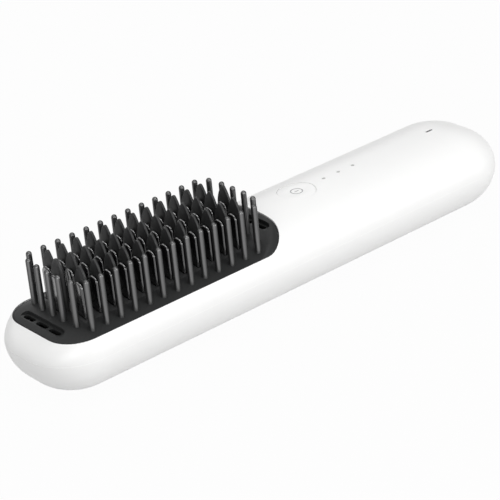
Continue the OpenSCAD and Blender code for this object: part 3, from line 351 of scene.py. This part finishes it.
# %% Helper: cut holes and keep the skin's gloss
def cut(piece, cutter_bm):
    cutter = object_from(piece.name + "_cutter", to_metres(cutter_bm))
    step = piece.modifiers.new("holes", "BOOLEAN")
    step.operation, step.solver, step.object = "DIFFERENCE", "EXACT", cutter
    step.use_hole_tolerant = True
    view = bpy.context.evaluated_depsgraph_get()
    result = bpy.data.meshes.new_from_object(piece.evaluated_get(view))
    piece.modifiers.clear()
    piece.data = result
    result.name = piece.name
    bpy.data.objects.remove(cutter)
    return piece


def skin_of(rings, cap=True):
    skin = to_metres(loft(bmesh.new(), rings, cap_first=False, cap_last=cap))
    skin.normal_update()
    skin.faces.ensure_lookup_table()
    return skin


def keep_gloss(piece, skins, near=0.012):
    mesh = piece.data
    mesh.polygons.foreach_set("use_smooth", [True] * len(mesh.polygons))
    mesh.set_sharp_from_angle(angle=math.radians(34))
    normals = [Vector(c.vector) for c in mesh.corner_normals]
    trees = [(skin, BVHTree.FromBMesh(skin)) for skin in skins]
    kept = 0
    for face in mesh.polygons:
        for skin, tree in trees:
            spot, direction, _, _ = tree.find_nearest(face.center)
            if (spot - face.center).length > near * mm or direction.dot(face.normal) < 0.9:
                continue
            kept += 1
            for loop in face.loop_indices:
                corner = mesh.vertices[mesh.loops[loop].vertex_index].co
                spot, _, index, _ = tree.find_nearest(corner)
                corners = skin.faces[index].verts
                if len(corners) > 8:
                    normals[loop] = skin.faces[index].normal.copy()
                    continue
                weights = poly_3d_calc([v.co for v in corners], spot)
                normals[loop] = sum((v.normal * w for v, w in zip(corners, weights)),
                                    Vector()).normalized()
            break
    mesh.normals_split_custom_set(normals)
    print(piece.name, "keeps its gloss on", kept, "of", len(mesh.polygons), "faces")


# %% [markdown]
# Moulds make round holes with pins and long holes with blades. We cut ours with the same forms: a
# rod, an upright slot with round ends, and a lying slot for the socket's mouth in the tail.

# %% Helper: round and slotted cutters
def rod(bm, x, y, z0, z1, r0, r1=None, segments=48):
    r1 = r0 if r1 is None else r1
    made = bmesh.ops.create_cone(bm, cap_ends=True, segments=segments, radius1=r0, radius2=r1,
                                 depth=z1 - z0)["verts"]
    bmesh.ops.translate(bm, verts=made, vec=(x, y, (z0 + z1) / 2))
    return made


def slot_prism(bm, x, y, length, width, z0, z1, along_y=False, steps=10):
    turn = [math.pi * (i / steps - 0.5) for i in range(steps + 1)]
    end = (length - width) / 2
    shape = [(end + math.cos(a) * width / 2, math.sin(a) * width / 2) for a in turn]
    shape += [(-px, -py) for px, py in shape]
    shape = [(-py, px) if along_y else (px, py) for px, py in shape]
    rings = [[Vector((x + px, y + py, z)) for px, py in shape] for z in (z0, z1)]
    loft(bm, rings)


def lying_slot(bm, x0, x1, length, width, z):
    before = set(bm.verts)
    slot_prism(bm, 0, 0, length, width, x0, x1, along_y=True)
    made = [v for v in bm.verts if v not in before]
    bmesh.ops.rotate(bm, verts=made, matrix=Matrix.Rotation(math.pi / 2, 3, "Y"))
    bmesh.ops.translate(bm, verts=made, vec=(0, 0, z))


# %% [markdown]
# The white case is two moulded halves that meet at the widest line. Each half is a double-walled
# loft: up the inside, across the parting face and over the outside. A chamfer of a twentieth of a
# millimetre on both rims makes a parting line too fine to see. At the comb's end, where the
# photograph does show it, the groove is 0.12 mm deeper. The upper half has the long opening for
# the comb deck, the button's hole, three light holes and a slot for the dark window, and both
# halves share the mouth of the charging socket.

# %% White upper half
chamfer, end_groove, groove_x, groove_run = 0.05, 0.12, -95, 9
button_hole_r, light_hole_r = 7.36, 0.76
button_x, light_xs, window_x = 17.0, [30.5, 37.85, 45.2], 85.6
port_mouth = (99.5, 111.0, 9.5, 3.7, part_z)
outer_shares = [0.009] + shares(34, top_power, math.radians(2))
upper_outer = [upper_level(0, s) for s in outer_shares]
upper_inner = [upper_level(wall, s) for s in reversed(shares(14, top_power))]


def parting(ring):
    return [p + Vector((end_groove * min(1.0, max(0.0, (groove_x - p.x) / groove_run)), 0, 0))
            for p in ring]


shape = bmesh.new()
loft(shape, upper_inner + [parting(upper_level(0, 0, chamfer))] + upper_outer)
white_upper = object_from("white_upper_half", to_metres(shape))

holes = bmesh.new()
loft(holes, [outline(deck_w / 2, deck_x0, deck_x1, deck_corner, deck_corner, z) for z in (10, 50)])
rod(holes, button_x, 0, 20, 50, button_hole_r, segments=96)
for x in light_xs:
    rod(holes, x, 0, 20, 50, light_hole_r, segments=32)
slot_prism(holes, window_x, 0, 3.5, 1.1, 20, 50)
cut(white_upper, holes)
holes = bmesh.new()
lying_slot(holes, *port_mouth)
cut(white_upper, holes)
keep_gloss(white_upper, [skin_of(upper_outer), skin_of(upper_inner)])
hand_over(white_upper, white_case, ["upper_shell"], edge=0)

# %% [markdown]
# The lower half carries the lip that centres the two halves, and six round holes for the screws.
# Its bottom ends in a narrow flat, so that the brush can lie on its back.

# %% White lower half
lower_outer = [lower_level(0, s) for s in [0.008] + shares(30, low_power, math.radians(2))]
lower_inner = [lower_level(wall, s) for s in shares(14, low_power)[3:]]
shape = bmesh.new()
lip = [plan_ring(lip_in, part_z - 3), plan_ring(lip_in, part_z + lip_h),
       plan_ring(lip_out, part_z + lip_h), plan_ring(lip_out, part_z)]
loft(shape, list(reversed(lower_inner)) + lip + [parting(lower_level(0, 0, chamfer))] + lower_outer)
white_lower = object_from("white_lower_half", to_metres(shape))
screw_spots = [(x, y) for x in (1.9, 94.0) for y in (-12, 12)]
screw_spots += [(deck_xm - 25, 0), (deck_xm + 25, 0)]
holes = bmesh.new()
for x, y in screw_spots:
    rod(holes, x, y, -5, 12, 2.55, segments=40)
cut(white_lower, holes)
holes = bmesh.new()
lying_slot(holes, *port_mouth)
cut(white_lower, holes)
keep_gloss(white_lower, [skin_of(lower_outer), skin_of(lower_inner)])
hand_over(white_lower, white_case, ["lower_shell"], edge=0)

# %% [markdown]
# The comb deck is one moulding too: a low dome whose edge lies flush with the white rim, and whose
# far end climbs a ramp until it meets the crown of the handle. Its height is easy to write down:
# the dome drops along a circle towards the sides, the comb end and the corners, the ramp is a
# plane, and a small blend rounds the valley between them. We loft nested outlines from the edge
# inwards and give each point its height, then turn the wall down to the seal.

# %% Heights of the deck
def crown_at(y):
    return part_z + upper_h * (1 - (abs(y) / (body_w / 2)) ** top_power) ** (1 / top_power)


def blend_up(a, b, reach):
    h = max(reach - abs(a - b), 0) / reach
    return max(a, b) + h * h * reach / 4


def deck_height(x, y, t=deck_gap):
    side = deck_w / 2 - deck_corner
    if x < deck_x0 + deck_corner and abs(y) > side:
        far = side + math.hypot(x - deck_x0 - deck_corner, abs(y) - side)
    else:
        far = max(abs(y), deck_x0 + deck_w / 2 - x)
    dome = deck_top_z - cross_r + math.sqrt((cross_r - t) ** 2 - min(far, 21.5) ** 2)
    ramp = crown_z - (deck_x1 - x) * ramp_slope - t
    climb = -blend_up(-ramp, -(crown_at(min(abs(y), 21)) - t), 0.5)
    return blend_up(dome, climb, 1.4)


print("deck: middle", round(deck_height(deck_xm, 0), 2),
      "edge", round(deck_height(deck_xm, 20.3), 2),
      "handle end", round(deck_height(deck_x1 - 0.2, 0), 2))

# %% [markdown]
# The deck's outlines follow each other inwards at steps of a millimetre. Its edge gets a small
# round first, so that the black plastic catches a soft line of light next to the white rim.

# %% The comb deck
def deck_ring(inset, drop=0.0, z=None):
    half = deck_w / 2 - deck_gap - inset
    r = (deck_corner - deck_gap) * half / (deck_w / 2 - deck_gap)
    return outline(half, deck_x0 + deck_gap + inset, deck_x1 - deck_gap - inset, r, r,
                   z if z is not None else lambda x, y: deck_height(x, y) - drop,
                   side_steps=80, end_steps=18, corner_steps=14)


edge_r = 0.35
rounding = [(edge_r * (1 - math.sin(a)), edge_r * (1 - math.cos(a)))
            for a in [math.pi / 2 * i / 5 for i in range(6)]]
insets = [0.8, 1.4] + [2.2 + i for i in range(18)] + [20.0]
deck_top = [deck_ring(a, b) for a, b in reversed(rounding)] + [deck_ring(i) for i in insets]
deck_under = [deck_ring(i, deck_t) for i in reversed(insets[2:])]
shape = bmesh.new()
loft(shape, deck_under + [deck_ring(deck_t, z=skirt_z), deck_ring(0, z=skirt_z)] + deck_top)
deck = object_from("domed_comb_deck", to_metres(shape))

# %% [markdown]
# Each end of the deck has a shallow oval recess with three slots in it, which let the fan-free
# heater breathe. The rows of leaves come up through three long slots. We cut in three steps: the
# long slots, then the recesses, then the vent slots in them, so that no two cutters overlap.

# %% Vents and slots of the deck
def strip_ends(xs):
    first_fin = xs[0] - fin_back
    open_end = len(xs) == 13
    return (first_fin if open_end else first_fin - fin_t / 2 - fin_gap - strip_over,
            xs[-1] + leaf_t / 2 + strip_over)


rows = [(-leaf_row_y, half_steps), (0, whole_steps), (leaf_row_y, half_steps)]
holes = bmesh.new()
for y, xs in rows:
    x0, x1 = strip_ends(xs)
    x0 = min(x0 - strip_gap, xs[0] - fin_back - fin_t / 2 - fin_gap)
    r = strip_corner + strip_gap
    rings = [outline(strip_w / 2 + strip_gap, x0, x1 + strip_gap, r, r, z) for z in (10, 40)]
    loft(holes, [[p + Vector((0, y, 0)) for p in ring] for ring in rings])
cut(deck, holes)

vent_in, vent_w, vent_len = 3.9, 3.8, 23.6
vent_slot_ys, vent_slot_len, vent_slot_w = (-7.4, 0, 7.4), 6.0, 2
near_vent_z = deck_height(deck_x0 + vent_in, vent_len / 2) - 0.4
far_vent_z = crown_z - vent_in * ramp_slope - 0.8
holes = bmesh.new()
for x, z in ((deck_x0 + vent_in, near_vent_z), (deck_x1 - vent_in, far_vent_z)):
    slot_prism(holes, x, 0, vent_len, vent_w, z, 45, along_y=True)
cut(deck, holes)
holes = bmesh.new()
for x in (deck_x0 + vent_in, deck_x1 - vent_in):
    for y in vent_slot_ys:
        slot_prism(holes, x, y, vent_slot_len, vent_slot_w, 10, 45, along_y=True)
cut(deck, holes)
keep_gloss(deck, [skin_of(deck_top)])
print("vent recesses at z", round(near_vent_z, 2), "and", round(far_vent_z, 2), "mm")
hand_over(deck, black_plastic, ["comb_deck"], edge=0)

# %% [markdown]
# Thirty-six guide pins stand round the deck and keep the hot fins off the scalp. A pin is a slim
# taper with a round tip. We draw half of its profile and spin it about the pin's own axis, once at
# each spot, starting a little under the deck so that no gap shows at the foot.

# %% Guide pins
pin_foot_r, pin_tip_r, pin_top_z, end_row_lift = 1.12, 1.04, 43.5, 0.8
end_row_x, end_row_bend = 6 * pitch + 4.1, 0.9
pin_spots = [(x, s * pin_row_y, pin_top_z) for x in whole_steps for s in (-1, 1)]
pin_spots += [(deck_xm + s * (end_row_x - (end_row_bend if abs(k) == 2 else 0)), k * pitch,
               pin_top_z + end_row_lift * (s + 1) / 2) for s in (-1, 1) for k in range(-2, 3)]


def pin(bm, x, y, foot_z, pin_tip_z):
    profile = [(0.0, foot_z), (pin_foot_r, foot_z)]
    profile += [(pin_foot_r + (pin_tip_r - pin_foot_r) * i / 3,
                 foot_z + (pin_tip_z - pin_tip_r - foot_z) * i / 3) for i in (1, 2, 3)]
    profile += [(pin_tip_r * math.cos(a), pin_tip_z - pin_tip_r + pin_tip_r * math.sin(a))
                for a in [math.pi / 2 * i / 6 for i in range(1, 6)]] + [(0.0, pin_tip_z)]
    verts = [bm.verts.new((x + r, y, z)) for r, z in profile]
    edges = [bm.edges.new(pair) for pair in zip(verts, verts[1:])]
    bmesh.ops.spin(bm, geom=verts + edges, cent=(x, y, 0), axis=(0, 0, 1), angle=2 * math.pi,
                   steps=20, use_merge=True)


shape = bmesh.new()
for x, y, tip_z in pin_spots:
    pin(shape, x, y, deck_height(x, y) - 1.2, tip_z)
bmesh.ops.remove_doubles(shape, verts=shape.verts, dist=0.001)
finish_piece("round_guide_pins", shape, black_teeth, ["guide_pins"])

# %% [markdown]
# Between the pins stand the leaves: flat pointed arches, thirteen in the middle row and twelve in
# each outer row. They part the hair before the hot fins meet it. A leaf starts as a flat outline,
# is extruded to its thickness and gets a small round on all its edges, as a mould gives it. The
# leaves of a row grow out of one long strip that lies flush in the deck. The fins are plates of
# the same kind with round tops, so one helper serves both.

# %% Helper: upright plates with rounded edges
def plate(bm, x, y, thickness, outline_yz, round_r, segments=2):
    verts = [bm.verts.new((x - thickness / 2, y + py, pz)) for py, pz in outline_yz]
    face = bm.faces.new(verts)
    made = bmesh.ops.extrude_face_region(bm, geom=[face])["geom"]
    moved = [g for g in made if isinstance(g, bmesh.types.BMVert)]
    bmesh.ops.translate(bm, verts=moved, vec=(thickness, 0, 0))
    all_verts = verts + moved
    rims = [e for e in set(e for v in all_verts for e in v.link_edges)
            if abs(e.verts[0].co.x - e.verts[1].co.x) < 1e-6]
    bmesh.ops.bevel(bm, geom=rims, offset=round_r, segments=segments, affect="EDGES", profile=0.5,
                    material=-1, clamp_overlap=True)


def leaf_outline(foot_z, tip_z, steps=10, tip_steps=5):
    arch = leaf_point - leaf_tip_r
    r = (leaf_w ** 2 / 4 + arch ** 2 - leaf_tip_r ** 2) / (leaf_w - 2 * leaf_tip_r)
    turn = math.asin(arch / (r - leaf_tip_r))
    side = [(leaf_w / 2 - r + r * math.cos(turn * i / steps),
             tip_z - leaf_point + r * math.sin(turn * i / steps)) for i in range(steps + 1)]
    for i in range(1, tip_steps + 1):
        a = turn + (math.pi / 2 - turn) * i / tip_steps
        side.append((leaf_tip_r * math.cos(a), tip_z - leaf_tip_r + leaf_tip_r * math.sin(a)))
    side[-1] = (0.0, tip_z)
    other_side = [(-y, z) for y, z in reversed(side[:-1])]
    return [(-leaf_w / 2, foot_z), (leaf_w / 2, foot_z)] + side + other_side


def fin_outline(foot_z, tip_z, steps=40):
    r = fin_w / 2
    arch = [(r * math.cos(math.pi * i / steps), tip_z - r + r * math.sin(math.pi * i / steps))
            for i in range(steps + 1)]
    return [(-r, foot_z), (r, foot_z)] + arch


# %% [markdown]
# Each strip is a loft that follows the deck's dome, with a hole for every fin cut out of it. The
# two outer rows are one CAD piece and the middle row is another, so we finish them as two pieces.

# %% Leaf strips
leaf_round = 0.32


def strip(bm, y, xs):
    x0, x1 = strip_ends(xs)

    def ring(inset, drop):
        r = strip_corner - inset * 0.4
        return outline(strip_w / 2 - inset, x0 + inset, x1 - inset, r, r,
                       lambda px, py: deck_height(px, y + py) - 0.1 - drop,
                       side_steps=60, end_steps=4, corner_steps=4)

    bottom = [Vector((p.x, p.y, heater_z + 0.02)) for p in ring(0, 0)]
    rings = [bottom] + [ring(a * 0.2, b * 0.2) for a, b in reversed(rounding)]
    rings += [ring(inset, 0) for inset in (0.8, 1.6, 2.3)]
    before = set(bm.verts)
    loft(bm, rings)
    bmesh.ops.translate(bm, verts=[v for v in bm.verts if v not in before], vec=(0, y, 0))


def box(bm, x, y, z0, z1, long_x, long_y):
    made = bmesh.ops.create_cube(bm, size=1.0)["verts"]
    bmesh.ops.scale(bm, verts=made, vec=(long_x, long_y, z1 - z0))
    bmesh.ops.translate(bm, verts=made, vec=(x, y, (z0 + z1) / 2))


for name, some_rows, tip_z, node in (("outer_leaf_rows", rows[::2], 45.2, "outer_leaf_strips"),
                                     ("middle_leaf_row", rows[1:2], 46.1, "centre_leaf_strip")):
    shape, holes = bmesh.new(), bmesh.new()
    for y, xs in some_rows:
        strip(shape, y, xs)
        for x in xs:
            box(holes, x - fin_back, y, 20, 40, fin_t + 2 * fin_gap, fin_w + 2 * fin_gap)
    bars = cut(object_from(name + "_bars", to_metres(shape)), holes)
    shape = bmesh.new()
    shape.from_mesh(bars.data)
    bpy.data.objects.remove(bars)
    bmesh.ops.scale(shape, vec=(1 / mm, 1 / mm, 1 / mm), verts=shape.verts)
    for y, xs in some_rows:
        for x in xs:
            plate(shape, x, y, leaf_t, leaf_outline(deck_height(x, y) - 1.5, tip_z), leaf_round)
    finish_piece(name, shape, black_leaves, [node])

# %% [markdown]
# The heater is a cast plate with thirty-seven fins, one close in front of each leaf. They have
# round tops and soft edges, and a glossy black coating that lets hair glide, so each one catches
# a streak of the long lamp on its shoulder. The plate and the fins are one piece.

# %% Heater plate and fins
half_len = deck_xm - (whole_steps[0] - fin_back) + fin_t / 2 + 0.6
plate_half_w, plate_corner, fin_round = 13, 2, 0.58
plate_levels = ((20.2, 0.4), (20.32, 0.12), (20.6, 0.0), (22.8, 0.0), (23.08, 0.12), (23.2, 0.4))
shape = bmesh.new()
loft(shape, [outline(plate_half_w - inset, deck_xm - half_len + inset, deck_xm + half_len - inset,
                     plate_corner - inset, plate_corner - inset, z) for z, inset in plate_levels])
for y, xs in rows:
    fin_z = 40.3 if y == 0 else 39.5
    for x in xs:
        plate(shape, x - fin_back, y, fin_t, fin_outline(heater_z - 0.5, fin_z), fin_round,
              segments=5)
finish_piece("coated_heater_fins", shape, coated_heater, ["heater_block"])

# %% [markdown]
# The power button is a round cap that follows the crown of the handle, with a faint dish for the
# thumb and a small round on its edge. It is the only moving piece that shows, so it rides on the
# button's body.

# %% Power button
cap_r, cap_round, cap_sunk = 7.28, 0.14, 0.05
flange_r, flange_low, flange_top = 8.25, 27.3, 28.1
dish_w, dish_depth = 11.5, 0.25


def button_height(x, y):
    dish_r = dish_w ** 2 / (8 * dish_depth)
    dish = crown_z - cap_sunk - dish_depth + ((x - button_x) ** 2 + y ** 2) / (2 * dish_r)
    return min(crown_at(y) - cap_sunk, dish)


def disc_ring(cx, cy, r, z, steps=72):
    return [Vector((cx + r * math.cos(a), cy + r * math.sin(a),
                    z(cx + r * math.cos(a), cy + r * math.sin(a)) if callable(z) else z))
            for a in [2 * math.pi * i / steps for i in range(steps)]]


shape = bmesh.new()
rings = [disc_ring(button_x, 0, r, lambda x, y: button_height(x, y) - 1.2) for r in (0.5, 3, 6.0)]
rings += [disc_ring(button_x, 0, r, z) for r, z in (
    (6.05, flange_low), (flange_r, flange_low), (flange_r, flange_top), (cap_r, flange_top))]
for a in [math.pi / 2 * i / 5 for i in range(6)]:
    rings.append(disc_ring(button_x, 0, cap_r - cap_round * (1 - math.cos(a)),
                           lambda x, y: button_height(x, y) - cap_round * (1 - math.sin(a))))
rings += [disc_ring(button_x, 0, r, button_height) for r in (6.5, 6, 5.5, 5, 4, 3, 2, 1, 0.3)]
loft(shape, rings)
finish_piece("round_power_button", shape, white_case, ["button_cap"],
             body="button", edge=40)

# %% [markdown]
# Under the button's flange sits a ring of soft silicone that pushes it back up. We replace the CAD
# ring by a plain round ring of the same height, with a soft silicone finish.

# %% Soft ring under the button
soft_silicone = moulded("soft_silicone", (0.55, 0.55, 0.54), 0.6, 0.3, 0.003)
ring_low, ring_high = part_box("button_return_pad")
ring_z0, ring_z1 = ring_low[2] / mm, ring_high[2] / mm
ring_h, ring_r, ring_hole_r, ring_give = ring_z1 - ring_z0, 8.2, 6.65, 0.42
shape = bmesh.new()
rings = [disc_ring(button_x, 0, r, z) for r, z in (
    (ring_r, ring_z0), (ring_r, ring_z1), (ring_hole_r, ring_z1), (ring_hole_r, ring_z0),
    (ring_r, ring_z0))]
loft(shape, rings, cap_first=False, cap_last=False)
bmesh.ops.remove_doubles(shape, verts=shape.verts, dist=0.001)
soft_ring = finish_piece("soft_return_ring", shape, soft_silicone,
                         ["button_return_pad"])
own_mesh(soft_ring)
print("soft ring", round(ring_h, 2), "mm high")

# %% [markdown]
# The power symbol, a ring with a short bar, is a thin grey print on the button. Print has almost
# no thickness, but two surfaces at the same height would flicker, so ours stands up by a hair.

# %% Power symbol
shape = bmesh.new()
lift = 0.015
ring_in, ring_out = 2.0, 2.42
rings = [disc_ring(button_x, 0, r, lambda x, y: button_height(x, y) + z, steps=64)
         for r, z in ((ring_out, -0.05), (ring_out, lift), (ring_in, lift), (ring_in, -0.05))]
loft(shape, rings, cap_first=False, cap_last=False)
slot_prism(shape, button_x, 0, 2.0, 0.42, button_height(button_x, 0) - 0.05,
           button_height(button_x, 0) + lift + 0.005)
finish_piece("grey_power_symbol", shape, grey_print, body="button", edge=40)

# %% [markdown]
# Light gets out at four spots: three round dots beside the button and a small dark window near the
# end of the handle. They are lenses of a light guide and of a tinted window, so they stand for
# those CAD pieces and reach down to the board as these do.

# %% Lights and window
shape = bmesh.new()
slot_prism(shape, light_xs[1], 0, 20.5, 3, 28.2, 29.6)
for x in light_xs:
    rod(shape, x, 0, 29.5, 31.55, 0.70, segments=32)
    rod(shape, x, 0, 31.55, 31.64, 0.70, 0.60, segments=32)
    rod(shape, x, 0, 26.5, 28.3, 1.0, segments=32)
finish_piece("three_light_dots", shape, light_plastic, ["light_guide"])

shape = bmesh.new()
slot_prism(shape, window_x, 0, 5.4, 3.0, 27.3, 28.1)
slot_prism(shape, window_x, 0, 3.4, 1.0, 28.0, 31.62)
finish_piece("small_dark_window", shape, dark_window, ["charge_window"])

# %% [markdown]
# Six small plugs close the screw holes under the body. Each follows the curve of the lower half
# from side to side, a little inside it. Known fault: low_at leaves out the round of the tail, so
# the two plugs nearest the tail stand out of the case.

# %% Plugs over the screws
def low_at(x, y):
    share = 1 - ((max(abs(y), rest_w / 2) - rest_w / 2) / (body_w / 2 - rest_w / 2)) ** low_power
    return part_z - lower_h * share ** (1 / low_power)


shape = bmesh.new()
for x, y in screw_spots:
    top = 5.4 if abs(y) > 1 else 3.0
    loft(shape, [disc_ring(x, y, r, z, steps=40) for r, z in (
        (2.5, top), (2.5, lambda px, py: low_at(px, py) + 0.45),
        (2.35, lambda px, py: low_at(px, py) + 0.3), (1.5, lambda px, py: low_at(px, py) + 0.3))])
finish_piece("flush_screw_plugs", shape, white_case, ["screw_plugs"])

# %% [markdown]
# The pieces inside keep their CAD shapes, because those are right, and get finishes of their own.

# %% Finishes of the pieces inside
inside = {
    "heating_elements": drawn_metal("ceramic_heating_element", (0.62, 0.61, 0.58), 0.5),
    "mica_sheet": moulded("mica_flakes", (0.50, 0.40, 0.26), 0.45, 1.2, 0.02, mottle=0.3),
    "heater_bracket": moulded("glass_filled_plastic", (0.16, 0.155, 0.15), 0.55, 0.2, 0.006,
                              mottle=0.12),
    "battery_cradle": moulded("inner_plastic", (0.09, 0.09, 0.095), 0.5, 0.25, 0.004, mottle=0.1),
    "bracket_screws": drawn_metal("zinc_plated_steel", (0.60, 0.61, 0.63), 0.3),
    "thermal_fuse": drawn_metal("fuse_case", (0.75, 0.75, 0.74), 0.25),
    "temperature_sensor": moulded("glazed_bead", (0.55, 0.20, 0.04), 0.2, 0.4, 0.002, mottle=0.15),
    "deck_seal": moulded("seal_rubber", (0.03, 0.03, 0.03), 0.7, 0.2, 0.006, mottle=0.2),
    "power_switch": moulded("switch_plastic", (0.04, 0.04, 0.04), 0.4, 0.2, 0.003, mottle=0.15),
    "main_board": moulded("green_board_lacquer", (0.015, 0.12, 0.05), 0.3, 0.8, 0.01, mottle=0.3),
    "battery_cells": moulded("cell_sleeve", (0.05, 0.17, 0.42), 0.35, 0.6, 0.004, mottle=0.1),
    "battery_straps": drawn_metal("nickel_strap", (0.62, 0.58, 0.52), 0.35),
    "charging_socket": drawn_metal("socket_steel", (0.62, 0.62, 0.63), 0.28),
    "heater_leads": moulded("red_lead_rubber", (0.42, 0.02, 0.02), 0.45, 0.3, 0.002, mottle=0.1),
    "indicator_leds": moulded("milky_led", (0.75, 0.74, 0.66), 0.3, 0.2, 0.001, mottle=0.05),
}
for shared, first in (("head_screws", "bracket_screws"), ("board_screws", "bracket_screws"),
                      ("shell_screws", "bracket_screws"), ("switch_stem", "power_switch"),
                      ("charging_board", "main_board"), ("battery_leads", "heater_leads"),
                      ("charging_leads", "heater_leads")):
    inside[shared] = inside[first]
for node, finish in inside.items():
    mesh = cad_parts[node].data
    mesh.materials.clear()
    mesh.materials.append(finish)
print("finishes on", len(inside), "pieces inside")

# %% [markdown]
# The studio is plain. The floor is white to the camera, and to the mirror and glass rays that end
# on it, but it keeps a small part of its shading, so that the soft shadow of the brush stays.

# %% Floor
shape = bmesh.new()
bmesh.ops.create_grid(shape, x_segments=2, y_segments=2, size=3.0)
floor = object_from("floor", shape)
paper = bpy.data.materials.new("white_paper")
paper.use_nodes = True
nodes, links = paper.node_tree.nodes, paper.node_tree.links
nodes.remove(nodes["Principled BSDF"])
matt = nodes.new("ShaderNodeBsdfDiffuse")
matt.inputs["Color"].default_value = (0.45, 0.45, 0.45, 1)
glow = nodes.new("ShaderNodeEmission")
glow.inputs["Strength"].default_value = 1.0
rays = nodes.new("ShaderNodeLightPath")
seen = nodes.new("ShaderNodeMath")
seen.operation = "MAXIMUM"
links.new(rays.outputs["Is Camera Ray"], seen.inputs[0])
links.new(rays.outputs["Is Transmission Ray"], seen.inputs[1])
mirrored = nodes.new("ShaderNodeMath")
mirrored.operation = "MAXIMUM"
links.new(seen.outputs[0], mirrored.inputs[0])
links.new(rays.outputs["Is Glossy Ray"], mirrored.inputs[1])
share = nodes.new("ShaderNodeMath")
share.operation = "MULTIPLY"
share.inputs[1].default_value = 0.97
links.new(mirrored.outputs[0], share.inputs[0])
both = nodes.new("ShaderNodeMixShader")
links.new(share.outputs[0], both.inputs["Fac"])
links.new(matt.outputs[0], both.inputs[1])
links.new(glow.outputs[0], both.inputs[2])
links.new(both.outputs[0], nodes["Material Output"].inputs["Surface"])
floor.data.materials.append(paper)

# %% [markdown]
# The light is even and white. Five soft lamps stand above, in front, at the side and behind, at
# strengths that give the white case its greys. A sixth, long and narrow, hangs over the brush and
# draws the streaks on the glossy fins. A narrow lamp makes a thin, sharp line on a rounded edge.

# %% World and lamps
world = bpy.data.worlds.new("studio")
bpy.context.scene.world = world
world.use_nodes = True
nodes, links = world.node_tree.nodes, world.node_tree.links
light = nodes["Background"]
light.inputs["Color"].default_value = (1, 1, 1, 1)
light.inputs["Strength"].default_value = 0.30
white = nodes.new("ShaderNodeBackground")
white.inputs["Color"].default_value = (1, 1, 1, 1)
white.inputs["Strength"].default_value = 1.0
rays = nodes.new("ShaderNodeLightPath")
seen = nodes.new("ShaderNodeMixShader")
links.new(rays.outputs["Is Camera Ray"], seen.inputs["Fac"])
links.new(light.outputs[0], seen.inputs[1])
links.new(white.outputs[0], seen.inputs[2])
links.new(seen.outputs[0], nodes["World Output"].inputs["Surface"])


def soft_lamp(name, place, width, height, watts):
    data = bpy.data.lights.new(name, "AREA")
    data.shape, data.size, data.size_y, data.energy = "RECTANGLE", width, height, watts
    lamp = bpy.data.objects.new(name, data)
    bpy.context.scene.collection.objects.link(lamp)
    lamp.location = place
    lamp.rotation_euler = (Vector((0, 0, 0.02)) - Vector(place)).to_track_quat("-Z", "Y").to_euler()
    return lamp


soft_lamp("overhead", (-0.1, -0.1, 1.3), 1.0, 1.0, 3.4)
soft_lamp("streak", (0.12, -0.34, 0.80), 0.10, 0.70, 1.5)
soft_lamp("front", (-0.78, -0.78, 0.30), 0.90, 0.50, 5.0)
soft_lamp("side", (0.45, -1.00, 0.25), 0.80, 0.40, 5.2)
soft_lamp("far_left", (-0.60, 0.60, 0.90), 1.00, 1.00, 2.1)
soft_lamp("far_right", (0.40, 0.90, 0.80), 1.00, 1.00, 3.6)
